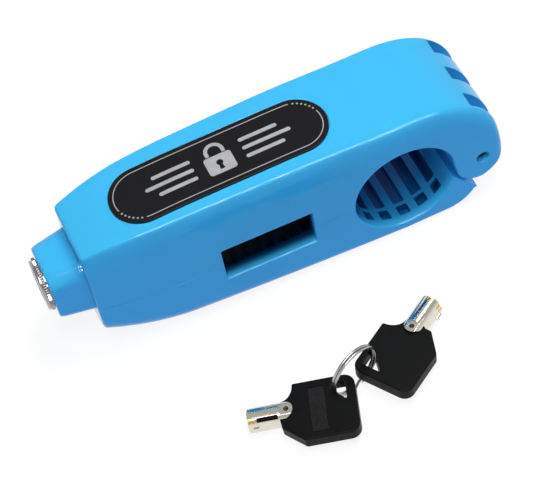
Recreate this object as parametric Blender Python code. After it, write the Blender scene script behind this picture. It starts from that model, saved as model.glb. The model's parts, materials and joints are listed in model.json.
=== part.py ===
"""Clam-shell grip lock: two hinged shells, a push-and-turn tubular lock, two keys on a split ring.

The lock lies on its flat underside. X runs from the lock cylinder (-X) to the hinge (+X), -Y is
the side with the keys in front of it, and Z is up. The origin is on the underside, below the
middle of the lever slot.
"""
import math

import bmesh
import bpy
from mathutils import Matrix, Vector

MM = 0.001

# Through openings: the slot for the brake lever and the bore for the handlebar grip
SLOT_LENGTH = 38.0 * MM
SLOT_HEIGHT = 18.2 * MM
BORE_RADIUS = 21.3 * MM
SLOT_TO_BORE = 17.7 * MM
BORE_DROP = 0.8 * MM
BORE_FLOOR = 5.9 * MM

# Shells
WALL = 3.0 * MM
COVER_HEIGHT = 34.8 * MM
PARTING_GAP = 0.3 * MM
PARTING_EDGE = 0.4 * MM
LATCH_BAY = 51.0 * MM
HINGE_HALF_WIDTH = 22.4 * MM
WAIST_SWEEP = 3.2 * MM
NOSE_TAPER = 3.0 * MM
NOSE_TAPER_LENGTH = 38.0 * MM
NOSE_DROP = 5.0 * MM
NOSE_DROP_LENGTH = 28.0 * MM
NOSE_LIFT = 6.0 * MM
NOSE_LIFT_LENGTH = 25.0 * MM
NOSE_EDGE = 1.2 * MM
TOP_FILLET = 3.8 * MM
HEEL_FILLET = 2.5 * MM
NOSE_FILLET = 14.0 * MM
LIP_DEPTH = 6.0 * MM
LIP_WIDTH = 2.5 * MM
RIB_WIDTH = 1.8 * MM
RIB_COUNT = 5
WEB_FROM_SLOT = 9.5 * MM

# Bore lining, a grid of pockets
LINING = 2.4 * MM
POCKET_WIDTH = 5.2 * MM
POCKET_DEPTH = 3.9 * MM
POCKET_PITCH = math.radians(22.0)
POCKETS_TO_LOCK = 3
POCKETS_TO_HINGE = 2
POCKET_MARGIN = 4.0 * MM
SHORT_POCKET = 5.5 * MM
POCKET_BAR = 3.0 * MM

# Hinge
PIN_RADIUS = 2.4 * MM
PIN_RECESS = 5.0 * MM
PIN_DROP = 2.5 * MM
LOBE_DROP = 4.0 * MM
LOBE_BACK = 0.9 * MM
LOBE_RADIUS = 10.6 * MM
LOBE_EDGE = 1.2 * MM
HINGE_WEB = 3.8 * MM
KNUCKLE_RADIUS = 8.0 * MM
KNUCKLE_WIDTH = 6.4 * MM
KNUCKLE_PITCH = 15.3 * MM
SEAT_GAP = 1.6 * MM
SEAT_SLOPE = math.radians(49.4)
HEEL_HEIGHT = 8.5 * MM
HEEL_LENGTH = 12.8 * MM
HINGE_CURVE = 41.2 * MM
HINGE_POWER = 2.3
ARM_START = -55.0
ARM_END = 214.0
NOTCH_TURN = 28.0
HINGE_EDGE = 3.4 * MM
HINGE_NOTCH_TOP = 26.3 * MM

# Badge
BADGE_LENGTH = 90.0 * MM
BADGE_WIDTH = 26.8 * MM
BADGE_SHIFT = 7.0 * MM
BADGE_THICKNESS = 0.9 * MM
BADGE_RECESS = 0.9 * MM
PAD_MARGIN = 2.0 * MM
PAD_RISE = 0.15 * MM

# Push button: collar, barrel, nut
LOCK_RISE = 7.5 * MM
COLLAR_REACH = 14.0 * MM
COLLAR_DEPTH = 7.5 * MM
COLLAR_HALF_WIDTH = 13.3 * MM
COLLAR_HALF_HEIGHT = 15.0 * MM
COLLAR_CORNER = 9.5 * MM
COLLAR_TAPER_WIDTH = 1.5 * MM
COLLAR_TAPER_HEIGHT = 2.5 * MM
STOP_HALF_WIDTH = 6.0 * MM
STOP_DROP = 4.0 * MM
STOP_THICKNESS = 3.8 * MM
BARREL_RADIUS = 9.2 * MM
BEZEL_RADIUS = 10.8 * MM
BEZEL_THICKNESS = 3.8 * MM
BEZEL_CHAMFER = 0.8 * MM
TAIL_RADIUS = 8.0 * MM
NUT_ACROSS_FLATS = 21.0 * MM
NUT_THICKNESS = 3.0 * MM

# Plug, tumblers and turning bolt
KEYWAY_INNER = 3.45 * MM
KEY_TUBE_RADIUS = 4.75 * MM
KEY_TUBE_WALL = 1.0 * MM
KEYWAY_DEPTH = 6.2 * MM
PLUG_WALL = 1.1 * MM
PLUG_LENGTH = 22.0 * MM
PLUG_INSET = 0.9 * MM
RETAINER_RADIUS = 0.9 * MM
RETAINER_GROOVE = 1.2 * MM
RETAINER_FROM_BACK = 3.4 * MM
TUMBLER_COUNT = 7
TUMBLER_RADIUS = 0.6 * MM
TUMBLER_LENGTH = 9.0 * MM
TUMBLER_WELL = 8.0 * MM
BOLT_RADIUS = 4.0 * MM
STUD_RADIUS = 2.6 * MM
STUD_LENGTH = 4.0 * MM
HEAD_LENGTH = 14.0 * MM
HEAD_WIDTH = 6.0 * MM
HEAD_THICKNESS = 2.8 * MM
HEAD_CLEAR = 0.8 * MM

# Return spring of the push button
SPRING_LENGTH = 17.0 * MM
SPRING_RADIUS = 6.0 * MM
SPRING_WIRE = 0.6 * MM
SPRING_TURN_COUNT = 6
SPRING_POINT_COUNT = 10

# Bolt guide, catch plate and their screws
GUIDE_PLATE = 2.4 * MM
GUIDE_HALF_WIDTH = 11.0 * MM
GUIDE_ABOVE_BOLT = 4.5 * MM
GUIDE_FOOT = 14.0 * MM
GUIDE_BOSS = 5.0 * MM
CATCH_PLATE = 2.4 * MM
CATCH_HALF_WIDTH = 11.0 * MM
CATCH_MARGIN = 4.0 * MM
CATCH_FOOT = 11.0 * MM
CATCH_BOSS = 5.0 * MM
BOSS_RADIUS = 4.0 * MM
SCREW_SPACING = 12.0 * MM
SCREW_RADIUS = 1.25 * MM
SCREW_HEAD_RADIUS = 2.6 * MM
SCREW_HEAD_HEIGHT = 1.8 * MM
SCREW_BITE = 4.5 * MM

# Keys, in their own frame: u towards the tip, v across, w up from the tube's axis
BOW_LENGTH = 29.4 * MM
BOW_WIDTH = 25.2 * MM
BOW_OFFSET = 1.5 * MM
BOW_THICKNESS = 5.7 * MM
BOW_CORNER = 4.2 * MM
BOW_MOUTH = 11.2 * MM
BOW_CHAMFER = 8.2 * MM
BOW_SCALLOP = 5.5 * MM
BOW_EDGE = 0.6 * MM
PANEL_LENGTH = 6.4 * MM
PANEL_WIDTH = 19.0 * MM
PANEL_FROM_MOUTH = 14.4 * MM
PANEL_DEPTH = 0.4 * MM
HOLE_RADIUS = 7.8 * MM
HOLE_END_MARGIN = 3.6 * MM
HOLE_SIDE_MARGIN = 2.3 * MM
KEY_TUBE_LENGTH = 12.6 * MM
TONGUE_LENGTH = 5.0 * MM
RIVET_RADIUS = 1.0 * MM
RIVET_HEAD_RADIUS = 1.5 * MM
RIVET_HEAD_HEIGHT = 0.5 * MM
BIT_DEPTHS = (1.2, 2.0, 0.8, 1.6, 1.0)
BIT_WIDTH = 1.6 * MM

# Split ring and the way the keys lie on it
RING_RADIUS = 10.9 * MM
RING_WIRE = 0.5 * MM
RING_PITCH = 1.45 * MM
RING_TURN_COUNT = 2
RING_POINT_COUNT = 24
RING_X = 7.4 * MM
RING_FROM_SIDE = 55.7 * MM
RING_HEADING = math.radians(20.5)
HOLE_FROM_RING = 4.35 * MM
KEY_SHIFTS = (0.85 * MM, 1.2 * MM)
KEY_TILT = math.radians(3.5)
KEY_HEADINGS = (math.radians(161.5), math.radians(33.5))

# Fits
FIT = 0.3 * MM
SLIDE_FIT = 0.4 * MM
CUT_MARGIN = 2.0 * MM
ROUND_SIDES = 48
SMALL_SIDES = 20
CORNER_STEPS = 4

# Places that follow from the sizes above
PARTING_Z = BORE_FLOOR + BORE_RADIUS + BORE_DROP
TOP_Z = PARTING_Z + COVER_HEIGHT
BORE_X = SLOT_LENGTH / 2 + SLOT_TO_BORE + BORE_RADIUS
BORE_Z = PARTING_Z - BORE_DROP
NOTCH_RADIUS = KNUCKLE_RADIUS + SLIDE_FIT
PIN_X = BORE_X + BORE_RADIUS + HINGE_WEB + NOTCH_RADIUS
PIN_Z = PARTING_Z - PIN_DROP
LOBE_X = PIN_X - LOBE_BACK
LOBE_Z = PARTING_Z - LOBE_DROP
END_X = LOBE_X + LOBE_RADIUS
NOSE_X = -SLOT_LENGTH / 2 - LATCH_BAY
LOCK_Z = PARTING_Z + LOCK_RISE
COLLAR_FACE_X = NOSE_X - COLLAR_REACH
BEZEL_BACK_X = COLLAR_FACE_X - FIT
BEZEL_FACE_X = BEZEL_BACK_X - BEZEL_THICKNESS
COLLAR_BACK_X = NOSE_X + COLLAR_DEPTH
NUT_X = COLLAR_BACK_X + FIT
TAIL_X = NUT_X + NUT_THICKNESS + FIT
SPRING_X = TAIL_X + FIT
GUIDE_X = SPRING_X + SPRING_LENGTH + FIT
HEAD_X = GUIDE_X + GUIDE_PLATE + SLIDE_FIT
CATCH_X = HEAD_X + HEAD_THICKNESS + HEAD_CLEAR
KEYWAY_OUTER = KEY_TUBE_RADIUS + FIT
PLUG_RADIUS = KEYWAY_OUTER + PLUG_WALL
PLUG_FACE_X = BEZEL_FACE_X + PLUG_INSET
PLUG_BACK_X = PLUG_FACE_X + PLUG_LENGTH
RETAINER_X = PLUG_BACK_X - RETAINER_FROM_BACK
TUMBLER_CIRCLE = (KEYWAY_INNER + KEYWAY_OUTER) / 2
LOCK_AXIS = (0.0, LOCK_Z)


# Small geometry helpers


def sweep_fraction(x):
    """How far x lies from the hinge towards the nose, 0 to 1."""
    return min(1.0, max(0.0, (BORE_X - x) / (BORE_X - NOSE_X)))


def half_width(x):
    """Half the width of the closed lock at x."""
    width = HINGE_HALF_WIDTH - WAIST_SWEEP * sweep_fraction(x) ** 2
    into_nose = max(0.0, NOSE_X + NOSE_TAPER_LENGTH - x) / NOSE_TAPER_LENGTH
    width -= NOSE_TAPER * into_nose ** 2
    into_end = min(1.0, max(0.0, x - (END_X - HINGE_EDGE)) / HINGE_EDGE)
    return width - HINGE_EDGE * (1.0 - math.sqrt(1.0 - into_end ** 2))


def top_z(x, inset=0.0):
    """Height of the cover's top at x: a drop at the nose, a full round curve at the hinge."""
    into_nose = max(0.0, NOSE_X + NOSE_DROP_LENGTH - x) / NOSE_DROP_LENGTH
    into_curve = min(1.0, max(0.0, x - (END_X - HINGE_CURVE)) / (HINGE_CURVE - inset))
    share = (1.0 - into_curve ** HINGE_POWER) ** (1.0 / HINGE_POWER)
    rise = (COVER_HEIGHT + LOBE_DROP - inset) * share
    return LOBE_Z + rise - NOSE_DROP * into_nose ** 2


def lobe_z(x):
    """Height of the cover's lower edge at x: the parting line, then the round hinge lobe."""
    along = x - LOBE_X
    if abs(along) >= LOBE_RADIUS:
        return PARTING_Z + PARTING_GAP / 2
    return LOBE_Z - math.sqrt(LOBE_RADIUS ** 2 - along ** 2)


def seat_z(x):
    """Height at x of the base's slanted end face, which clears the hinge lobe."""
    clear = LOBE_RADIUS + SEAT_GAP
    return LOBE_Z - (clear + (x - LOBE_X) * math.sin(SEAT_SLOPE)) / math.cos(SEAT_SLOPE)


def seat_x(z):
    """Where the base's slanted end face reaches height z."""
    clear = LOBE_RADIUS + SEAT_GAP
    return LOBE_X - (clear + (z - LOBE_Z) * math.cos(SEAT_SLOPE)) / math.sin(SEAT_SLOPE)


HEEL_X = seat_x(HEEL_HEIGHT)


def bottom_z(x):
    """Height of the base's underside at x: flat, lifted at the nose and at the heel."""
    into_nose = max(0.0, NOSE_X + NOSE_LIFT_LENGTH - x) / NOSE_LIFT_LENGTH
    into_heel = min(HEEL_LENGTH, max(0.0, x - (HEEL_X - HEEL_LENGTH)))
    rise = HEEL_HEIGHT - PARTING_EDGE * 2
    radius = (HEEL_LENGTH ** 2 + rise ** 2) / (2 * rise)
    heel = radius - math.sqrt(radius ** 2 - into_heel ** 2)
    return NOSE_LIFT * into_nose ** 2 + heel


def bottom_fillet(x):
    """Edge radius of the underside at x, growing from the heel to the nose."""
    return HEEL_FILLET + (NOSE_FILLET - HEEL_FILLET) * sweep_fraction(x)


def section(width, low, high, low_radius, high_radius):
    """Points (y, z) of a rounded rectangle about y = 0, counter-clockwise."""
    total = high - low
    high_radius = min(high_radius, 0.48 * total, 0.96 * width)
    low_radius = min(low_radius, 0.96 * total - high_radius, 0.96 * width)
    corners = (
        (width - low_radius, low + low_radius, low_radius, -90.0),
        (width - high_radius, high - high_radius, high_radius, 0.0),
        (high_radius - width, high - high_radius, high_radius, 90.0),
        (low_radius - width, low + low_radius, low_radius, 180.0),
    )
    points = []
    for y, z, radius, start in corners:
        points += arc(y, z, radius, start, start + 90.0, CORNER_STEPS)
    return points


def arc(a, b, radius, start, end, steps):
    """Points of an arc about (a, b), with angles in degrees."""
    points = []
    for step in range(steps + 1):
        angle = math.radians(start + (end - start) * step / steps)
        points.append((a + radius * math.cos(angle), b + radius * math.sin(angle)))
    return points


def circle(radius, sides, centre=(0.0, 0.0)):
    """Points of a circle, counter-clockwise."""
    return arc(centre[0], centre[1], radius, 0.0, 360.0, sides)[:-1]


def stadium(length, width, centre_x):
    """Points (x, y) of a slot-shaped outline with round ends."""
    radius = width / 2
    straight = length / 2 - radius
    right = arc(centre_x + straight, 0.0, radius, -90.0, 90.0, ROUND_SIDES // 2)
    left = arc(centre_x - straight, 0.0, radius, 90.0, 270.0, ROUND_SIDES // 2)
    return right + left


def on_axis(axis, along, point):
    """World point from a distance along an axis and a 2-D point across it."""
    a, b = point
    if axis == "X":
        return (along, a, b)
    if axis == "Y":
        return (a, along, b)
    return (a, b, along)


# Object helpers


def mesh_object(name, points, faces):
    """Make a mesh object with its faces pointing out."""
    build = bmesh.new()
    made = [build.verts.new(point) for point in points]
    for face in faces:
        build.faces.new([made[index] for index in face])
    bmesh.ops.recalc_face_normals(build, faces=build.faces)
    mesh = bpy.data.meshes.new(name)
    build.to_mesh(mesh)
    build.free()
    mesh.shade_smooth()
    mesh.set_sharp_from_angle(angle=math.radians(30.0))
    made_object = bpy.data.objects.new(name, mesh)
    bpy.context.scene.collection.objects.link(made_object)
    return made_object


def loft(name, rings, closed=False):
    """Skin a row of point rings, capped at both ends or joined into a loop."""
    count = len(rings[0])
    points = [point for ring in rings for point in ring]
    spans = len(rings) if closed else len(rings) - 1
    faces = []
    for span in range(spans):
        here = span * count
        there = ((span + 1) % len(rings)) * count
        for index in range(count):
            after = (index + 1) % count
            faces.append((here + index, here + after, there + after, there + index))
    if not closed:
        faces.append(tuple(range(count)))
        faces.append(tuple(range(len(points) - count, len(points))))
    return mesh_object(name, points, faces)


def prism(name, axis, outline, low, high):
    """Extrude a 2-D outline along an axis."""
    rings = [[on_axis(axis, along, point) for point in outline] for along in (low, high)]
    return loft(name, rings)


def box(name, low, high):
    """A box between two corners."""
    outline = ((low[0], low[1]), (high[0], low[1]), (high[0], high[1]), (low[0], high[1]))
    return prism(name, "Z", outline, low[2], high[2])


def turned(name, axis, centre, profile, sides, hollow=False):
    """Turn a profile of (along, radius) pairs about an axis; hollow closes the profile."""
    rings = []
    for along, radius in profile:
        rings.append([on_axis(axis, along, point) for point in circle(radius, sides, centre)])
    return loft(name, rings, closed=hollow)


def rod(name, axis, centre, radius, low, high, sides=SMALL_SIDES):
    """A plain cylinder along an axis."""
    return turned(name, axis, centre, ((low, radius), (high, radius)), sides)


def merged(name, objects):
    """Join separate, disjoint bodies into one object, for use as a cutter."""
    points = []
    faces = []
    for item in objects:
        start = len(points)
        points += [vertex.co.copy() for vertex in item.data.vertices]
        faces += [[start + index for index in face.vertices] for face in item.data.polygons]
        bpy.data.objects.remove(item)
    return mesh_object(name, points, faces)


def combine(target, tool, operation):
    """Add a Boolean of the tool to the target and hide the tool."""
    modifier = target.modifiers.new(tool.name, "BOOLEAN")
    modifier.operation = operation
    modifier.solver = "EXACT"
    modifier.object = tool
    tool.hide_render = True
    tool.display_type = "WIRE"


def cut(target, tool):
    """Cut the tool out of the target."""
    combine(target, tool, "DIFFERENCE")


def add(target, tool):
    """Fuse the tool to the target."""
    combine(target, tool, "UNION")


def bevel(target, width):
    """Round the sharp edges of a piece."""
    modifier = target.modifiers.new("edges", "BEVEL")
    modifier.width = width
    modifier.segments = 2
    modifier.limit_method = "ANGLE"
    modifier.angle_limit = math.radians(50.0)


def set_origin(target, point):
    """Move an object's origin to a point on its joint's axis."""
    target.data.transform(Matrix.Translation(-Vector(point)))
    target.location = point


def material(name, colour, roughness, metallic=0.0):
    """A Principled material."""
    made = bpy.data.materials.new(name)
    made.use_nodes = True
    shader = made.node_tree.nodes["Principled BSDF"]
    shader.inputs["Base Color"].default_value = (*colour, 1.0)
    shader.inputs["Roughness"].default_value = roughness
    shader.inputs["Metallic"].default_value = metallic
    return made


def finish(target, look):
    """Give a piece its material."""
    target.data.materials.clear()
    target.data.materials.append(look)
    return target


def winding(name, points, wire, look):
    """One unbroken round wire along points, with its least gap to itself measured and printed."""
    curve = bpy.data.curves.new(name, "CURVE")
    curve.dimensions = "3D"
    curve.bevel_depth = wire
    curve.bevel_resolution = 1
    curve.use_fill_caps = True
    spline = curve.splines.new("POLY")
    spline.points.add(len(points) - 1)
    for slot, point in zip(spline.points, points):
        slot.co = (*point, 1.0)
    made = bpy.data.objects.new(name, curve)
    bpy.context.scene.collection.objects.link(made)
    curve.materials.append(look)
    return made


def least_gap(points, wire, skip):
    """Least clear distance between turns, over points more than skip apart along the wire."""
    gap = math.inf
    for first in range(len(points)):
        for second in range(first + skip, len(points)):
            gap = min(gap, (Vector(points[first]) - Vector(points[second])).length)
    return gap - 2 * wire


# Shells


def spread(low, high, count):
    """Evenly spaced values from low to high."""
    return [low + (high - low) * step / count for step in range(count + 1)]


def stations(end_x):
    """X positions of the shells' sections, closer together where the outline turns."""
    found = [NOSE_X + NOSE_EDGE * share for share in (0.0, 0.3, 1.0)]
    found += spread(NOSE_X + 2 * NOSE_EDGE, NOSE_X + NOSE_TAPER_LENGTH, 7)
    found += spread(-SLOT_LENGTH / 2, BORE_X, 4)
    for degrees in range(0, 90, 9):
        found.append(END_X - HINGE_CURVE * (1.0 - math.sin(math.radians(degrees))))
    for degrees in range(0, 181, 15):
        found.append(LOBE_X - LOBE_RADIUS * math.cos(math.radians(degrees)))
    for degrees in range(0, 91, 15):
        found.append(HEEL_X - HEEL_LENGTH * (1.0 - math.sin(math.radians(degrees))))
    tidy = []
    for x in sorted(found):
        if x < end_x and (not tidy or x - tidy[-1] > PARTING_EDGE / 2):
            tidy.append(x)
    return tidy + [end_x]


def inner_stations(end_x):
    """X positions of a hollow's sections, from behind the nose wall on."""
    start = NOSE_X + WALL
    return [start] + [x for x in stations(end_x) if x > start + PARTING_EDGE]


def nose_inset(x):
    """How far the sections draw in to round the edge of the flat nose."""
    into_edge = min(1.0, max(0.0, NOSE_X + NOSE_EDGE - x) / NOSE_EDGE)
    return NOSE_EDGE * (1.0 - math.sqrt(1.0 - into_edge ** 2))


def cover_solid():
    """The cover's outside, from the nose to the tip of the hinge lobe."""
    rings = []
    for x in stations(END_X - PARTING_EDGE / 20):
        inset = nose_inset(x)
        edge = LOBE_EDGE if abs(x - LOBE_X) < LOBE_RADIUS else PARTING_EDGE
        outline = section(half_width(x) - inset, lobe_z(x), top_z(x) - inset, edge, TOP_FILLET)
        rings.append([on_axis("X", x, point) for point in outline])
    return loft("cover_shell", rings)


def base_solid():
    """The base's outside, from the nose to the slanted seat of the hinge."""
    rings = []
    for x in stations(HEEL_X):
        inset = nose_inset(x)
        high = min(PARTING_Z - PARTING_GAP / 2, seat_z(x) + PARTING_EDGE / 10)
        low = bottom_z(x) + inset
        outline = section(half_width(x) - inset, low, high, bottom_fillet(x), PARTING_EDGE)
        rings.append([on_axis("X", x, point) for point in outline])
    return loft("base_shell", rings)


def cover_hollow():
    """The space inside the cover, open at the parting line and closed ahead of the hinge."""
    rings = []
    for x in inner_stations(PIN_X - NOTCH_RADIUS - WALL):
        outline = section(half_width(x) - WALL, PARTING_Z - CUT_MARGIN, top_z(x, WALL),
                          PARTING_EDGE, TOP_FILLET / 2)
        rings.append([on_axis("X", x, point) for point in outline])
    return loft("cover_hollow", rings)


def base_hollow():
    """The space inside the base, open at the parting line."""
    rings = []
    for x in inner_stations(seat_x(WALL * 3)):
        low = bottom_z(x) + WALL
        high = min(PARTING_Z + CUT_MARGIN, seat_z(x + WALL))
        if high - low < WALL:
            break
        outline = section(half_width(x) - WALL, low, high, bottom_fillet(x) - WALL / 2, PARTING_EDGE)
        rings.append([on_axis("X", x, point) for point in outline])
    return loft("base_hollow", rings)


def side_span():
    """A Y range that passes both sides of the lock."""
    return (-HINGE_HALF_WIDTH - CUT_MARGIN, HINGE_HALF_WIDTH + CUT_MARGIN)


def keep_bore_lining(hollow, name):
    """Leave the tube round the grip bore standing in a hollow."""
    radius = BORE_RADIUS + LINING
    cut(hollow, rod(name, "Y", (BORE_X, BORE_Z), radius, *side_span(), ROUND_SIDES))


def keep_lips(hollow, name, low, high):
    """Leave the thick lips of the lever slot standing at both sides."""
    reach = SLOT_LENGTH / 2 + LIP_WIDTH
    depth = half_width(0.0) - LIP_DEPTH
    far = HINGE_HALF_WIDTH + CUT_MARGIN
    front = box(name + "_front", (-reach, -far, low), (reach, -depth, high))
    back = box(name + "_back", (-reach, depth, low), (reach, far, high))
    cut(hollow, merged(name, (front, back)))


def keep_ribs(hollow, name, low, high, web_low, web_high):
    """Leave the ribs across the slot and the web beside the bore standing."""
    far = HINGE_HALF_WIDTH + CUT_MARGIN
    pitch = SLOT_LENGTH / RIB_COUNT
    places = [(index - (RIB_COUNT - 1) / 2) * pitch for index in range(RIB_COUNT)]
    plates = []
    for index, x in enumerate(places):
        plates.append(box(f"{name}_{index}", (x - RIB_WIDTH / 2, -far, low), (x + RIB_WIDTH / 2, far, high)))
    web_x = SLOT_LENGTH / 2 + WEB_FROM_SLOT
    plates.append(box(name + "_web", (web_x, -far, web_low), (web_x + RIB_WIDTH, far, web_high)))
    cut(hollow, merged(name, plates))


def keep_bosses(hollow, name, x, low, high):
    """Leave two screw bosses standing."""
    bosses = []
    for side in (-1, 1):
        centre = (x, side * SCREW_SPACING / 2)
        bosses.append(rod(f"{name}_{side}", "Z", centre, BOSS_RADIUS, low, high))
    cut(hollow, merged(name, bosses))


def screw_wells(target, name, x, low, high):
    """Drill the two pilot holes of a pair of screws."""
    wells = []
    for side in (-1, 1):
        centre = (x, side * SCREW_SPACING / 2)
        wells.append(rod(f"{name}_{side}", "Z", centre, SCREW_RADIUS + FIT, low, high, 12))
    cut(target, merged(name, wells))


def pockets(name, upward):
    """The grid of pockets in half of the bore's lining: short, long and short rows."""
    edge = half_width(BORE_X) - POCKET_MARGIN
    inner = edge - SHORT_POCKET
    long_half = inner - POCKET_BAR
    rows = ((-edge, -inner), (-long_half, long_half), (inner, edge))
    made = []
    for column in range(-POCKETS_TO_LOCK, POCKETS_TO_HINGE + 1):
        tilt = column * POCKET_PITCH
        out = Vector((math.sin(tilt), math.cos(tilt) * (1 if upward else -1)))
        side = Vector((out.y, -out.x)) * (POCKET_WIDTH / 2)
        middle = Vector((BORE_X, BORE_Z))
        inside = middle + out * (BORE_RADIUS - CUT_MARGIN / 2)
        outside = middle + out * (BORE_RADIUS + POCKET_DEPTH)
        outline = [tuple(p) for p in (inside - side, inside + side, outside + side, outside - side)]
        for row, (low, high) in enumerate(rows):
            made.append(prism(f"{name}_{column}_{row}", "Y", outline, low, high))
    return merged(name, made)


def collar_outline(half_w, half_h, grow=0.0):
    """Rounded rectangle (y, z) of the push collar about the lock's axis."""
    low = LOCK_Z - half_h - grow
    high = LOCK_Z + half_h + grow
    return section(half_w + grow, low, high, COLLAR_CORNER + grow, COLLAR_CORNER + grow)


def cut_common(shell, prefix):
    """Cut what passes through both shells: grip bore, lever slot, collar mouth and pin hole."""
    cut(shell, rod(prefix + "_bore", "Y", (BORE_X, BORE_Z), BORE_RADIUS, *side_span(), 2 * ROUND_SIDES))
    low, high = side_span()
    cut(shell, box(prefix + "_slot", (-SLOT_LENGTH / 2, low, PARTING_Z - SLOT_HEIGHT / 2),
                   (SLOT_LENGTH / 2, high, PARTING_Z + SLOT_HEIGHT / 2)))
    mouth = collar_outline(COLLAR_HALF_WIDTH, COLLAR_HALF_HEIGHT, SLIDE_FIT)
    cut(shell, prism(prefix + "_mouth", "X", mouth, NOSE_X - CUT_MARGIN, NOSE_X + WALL + CUT_MARGIN))
    pin_hole = rod(prefix + "_pin_hole", "Y", (PIN_X, PIN_Z), PIN_RADIUS + FIT, *side_span())
    cut(shell, pin_hole)


def knuckle_places():
    """Y of the middle of each hinge knuckle."""
    return (-KNUCKLE_PITCH, 0.0, KNUCKLE_PITCH)


def hinge_notches():
    """Slots in the cover's hinge end, where the base's knuckles turn."""
    half = KNUCKLE_WIDTH / 2 + FIT
    far = END_X + CUT_MARGIN
    left = PIN_X - NOTCH_RADIUS
    low = LOBE_Z - LOBE_RADIUS - CUT_MARGIN
    top = PIN_Z + HINGE_NOTCH_TOP
    outline = [(left, top)] + arc(PIN_X, PIN_Z, NOTCH_RADIUS, 180.0, 180.0 + NOTCH_TURN, 3)
    outline += [(left - 2 * CUT_MARGIN, low), (far, low), (far, top)]
    made = []
    for index, y in enumerate(knuckle_places()):
        made.append(prism(f"notch_{index}", "Y", outline, y - half, y + half))
    return merged("hinge_notches", made)


def knuckles():
    """The base's three hinge knuckles with the arms that carry them."""
    foot = seat_x(HEEL_HEIGHT)
    outline = arc(PIN_X, PIN_Z, KNUCKLE_RADIUS, ARM_START, ARM_END, 16)
    outline += [(seat_x(LOBE_Z - LOBE_RADIUS) - WALL, LOBE_Z - LOBE_RADIUS)]
    outline += [(foot - 2 * WALL, HEEL_HEIGHT), (foot - PARTING_EDGE, HEEL_HEIGHT + WALL / 2)]
    made = []
    for index, y in enumerate(knuckle_places()):
        low = y - KNUCKLE_WIDTH / 2
        made.append(prism(f"knuckle_{index}", "Y", outline, low, low + KNUCKLE_WIDTH))
    return merged("knuckles", made)


def catch_screw_x():
    """X of the screws that hold the catch plate."""
    return CATCH_X + CATCH_PLATE + CATCH_FOOT / 2


def guide_screw_x():
    """X of the screws that hold the bolt guide."""
    return GUIDE_X + GUIDE_FOOT - BOSS_RADIUS


def catch_foot_top():
    """Height of the catch plate's upper face, against its bosses."""
    return TOP_Z - WALL - CATCH_BOSS - FIT


def guide_foot_low():
    """Height of the bolt guide's lower face, on its bosses."""
    return WALL + GUIDE_BOSS + FIT


def make_cover(look):
    """The upper shell with its badge pad, hinge lobe and notches."""
    shell = cover_solid()
    pad = stadium(BADGE_LENGTH + 2 * PAD_MARGIN, BADGE_WIDTH + 2 * PAD_MARGIN, -BADGE_SHIFT)
    add(shell, prism("badge_pad", "Z", pad, TOP_Z - WALL, TOP_Z + PAD_RISE))
    recess = stadium(BADGE_LENGTH, BADGE_WIDTH, -BADGE_SHIFT)
    floor = TOP_Z + PAD_RISE - BADGE_RECESS
    cut(shell, prism("badge_recess", "Z", recess, floor, TOP_Z + CUT_MARGIN))
    hollow = cover_hollow()
    keep_bore_lining(hollow, "keep_cover_lining")
    slot_top = PARTING_Z + SLOT_HEIGHT / 2
    keep_lips(hollow, "keep_cover_lips", PARTING_Z - 2 * CUT_MARGIN, slot_top + LIP_WIDTH)
    keep_ribs(hollow, "keep_cover_ribs", slot_top, TOP_Z, PARTING_Z - 2 * CUT_MARGIN, TOP_Z)
    keep_bosses(hollow, "keep_cover_bosses", catch_screw_x(), catch_foot_top() + FIT, TOP_Z)
    cut(shell, hollow)
    cut_common(shell, "cover")
    cut(shell, pockets("cover_pockets", True))
    cut(shell, hinge_notches())
    boss_low = catch_foot_top() + FIT
    screw_wells(shell, "catch_wells", catch_screw_x(), boss_low - CUT_MARGIN, boss_low + SCREW_BITE + FIT)
    set_origin(shell, (PIN_X, 0.0, PIN_Z))
    return finish(shell, look)


def make_base(look):
    """The lower shell with its flat underside, slanted seat and hinge knuckles."""
    shell = base_solid()
    hollow = base_hollow()
    keep_bore_lining(hollow, "keep_base_lining")
    slot_floor = PARTING_Z - SLOT_HEIGHT / 2
    keep_lips(hollow, "keep_base_lips", slot_floor - LIP_WIDTH, PARTING_Z + 2 * CUT_MARGIN)
    keep_ribs(hollow, "keep_base_ribs", 0.0, slot_floor, 0.0, PARTING_Z + 2 * CUT_MARGIN)
    keep_bosses(hollow, "keep_base_bosses", guide_screw_x(), 0.0, WALL + GUIDE_BOSS)
    cut(shell, hollow)
    add(shell, knuckles())
    cut_common(shell, "base")
    cut(shell, pockets("base_pockets", False))
    boss_top = WALL + GUIDE_BOSS
    screw_wells(shell, "guide_wells", guide_screw_x(), boss_top - SCREW_BITE - FIT, boss_top + CUT_MARGIN)
    return finish(shell, look)


def make_hinge_pin(look):
    """The hinge pin, sunk below both sides."""
    reach = half_width(PIN_X) - PIN_RECESS
    chamfer = PIN_RADIUS / 6
    profile = ((-reach, PIN_RADIUS - chamfer), (chamfer - reach, PIN_RADIUS),
               (reach - chamfer, PIN_RADIUS), (reach, PIN_RADIUS - chamfer))
    pin = turned("hinge_pin", "Y", (PIN_X, PIN_Z), profile, SMALL_SIDES)
    return finish(pin, look)


def make_badge(look):
    """The stadium badge plate in its recess."""
    low = TOP_Z + PAD_RISE - BADGE_RECESS + FIT
    outline = stadium(BADGE_LENGTH - 2 * FIT, BADGE_WIDTH - 2 * FIT, -BADGE_SHIFT)
    plate = prism("badge_plate", "Z", outline, low, low + BADGE_THICKNESS)
    set_origin(plate, (PIN_X, 0.0, PIN_Z))
    return finish(plate, look)


# Push-and-turn lock


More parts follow.
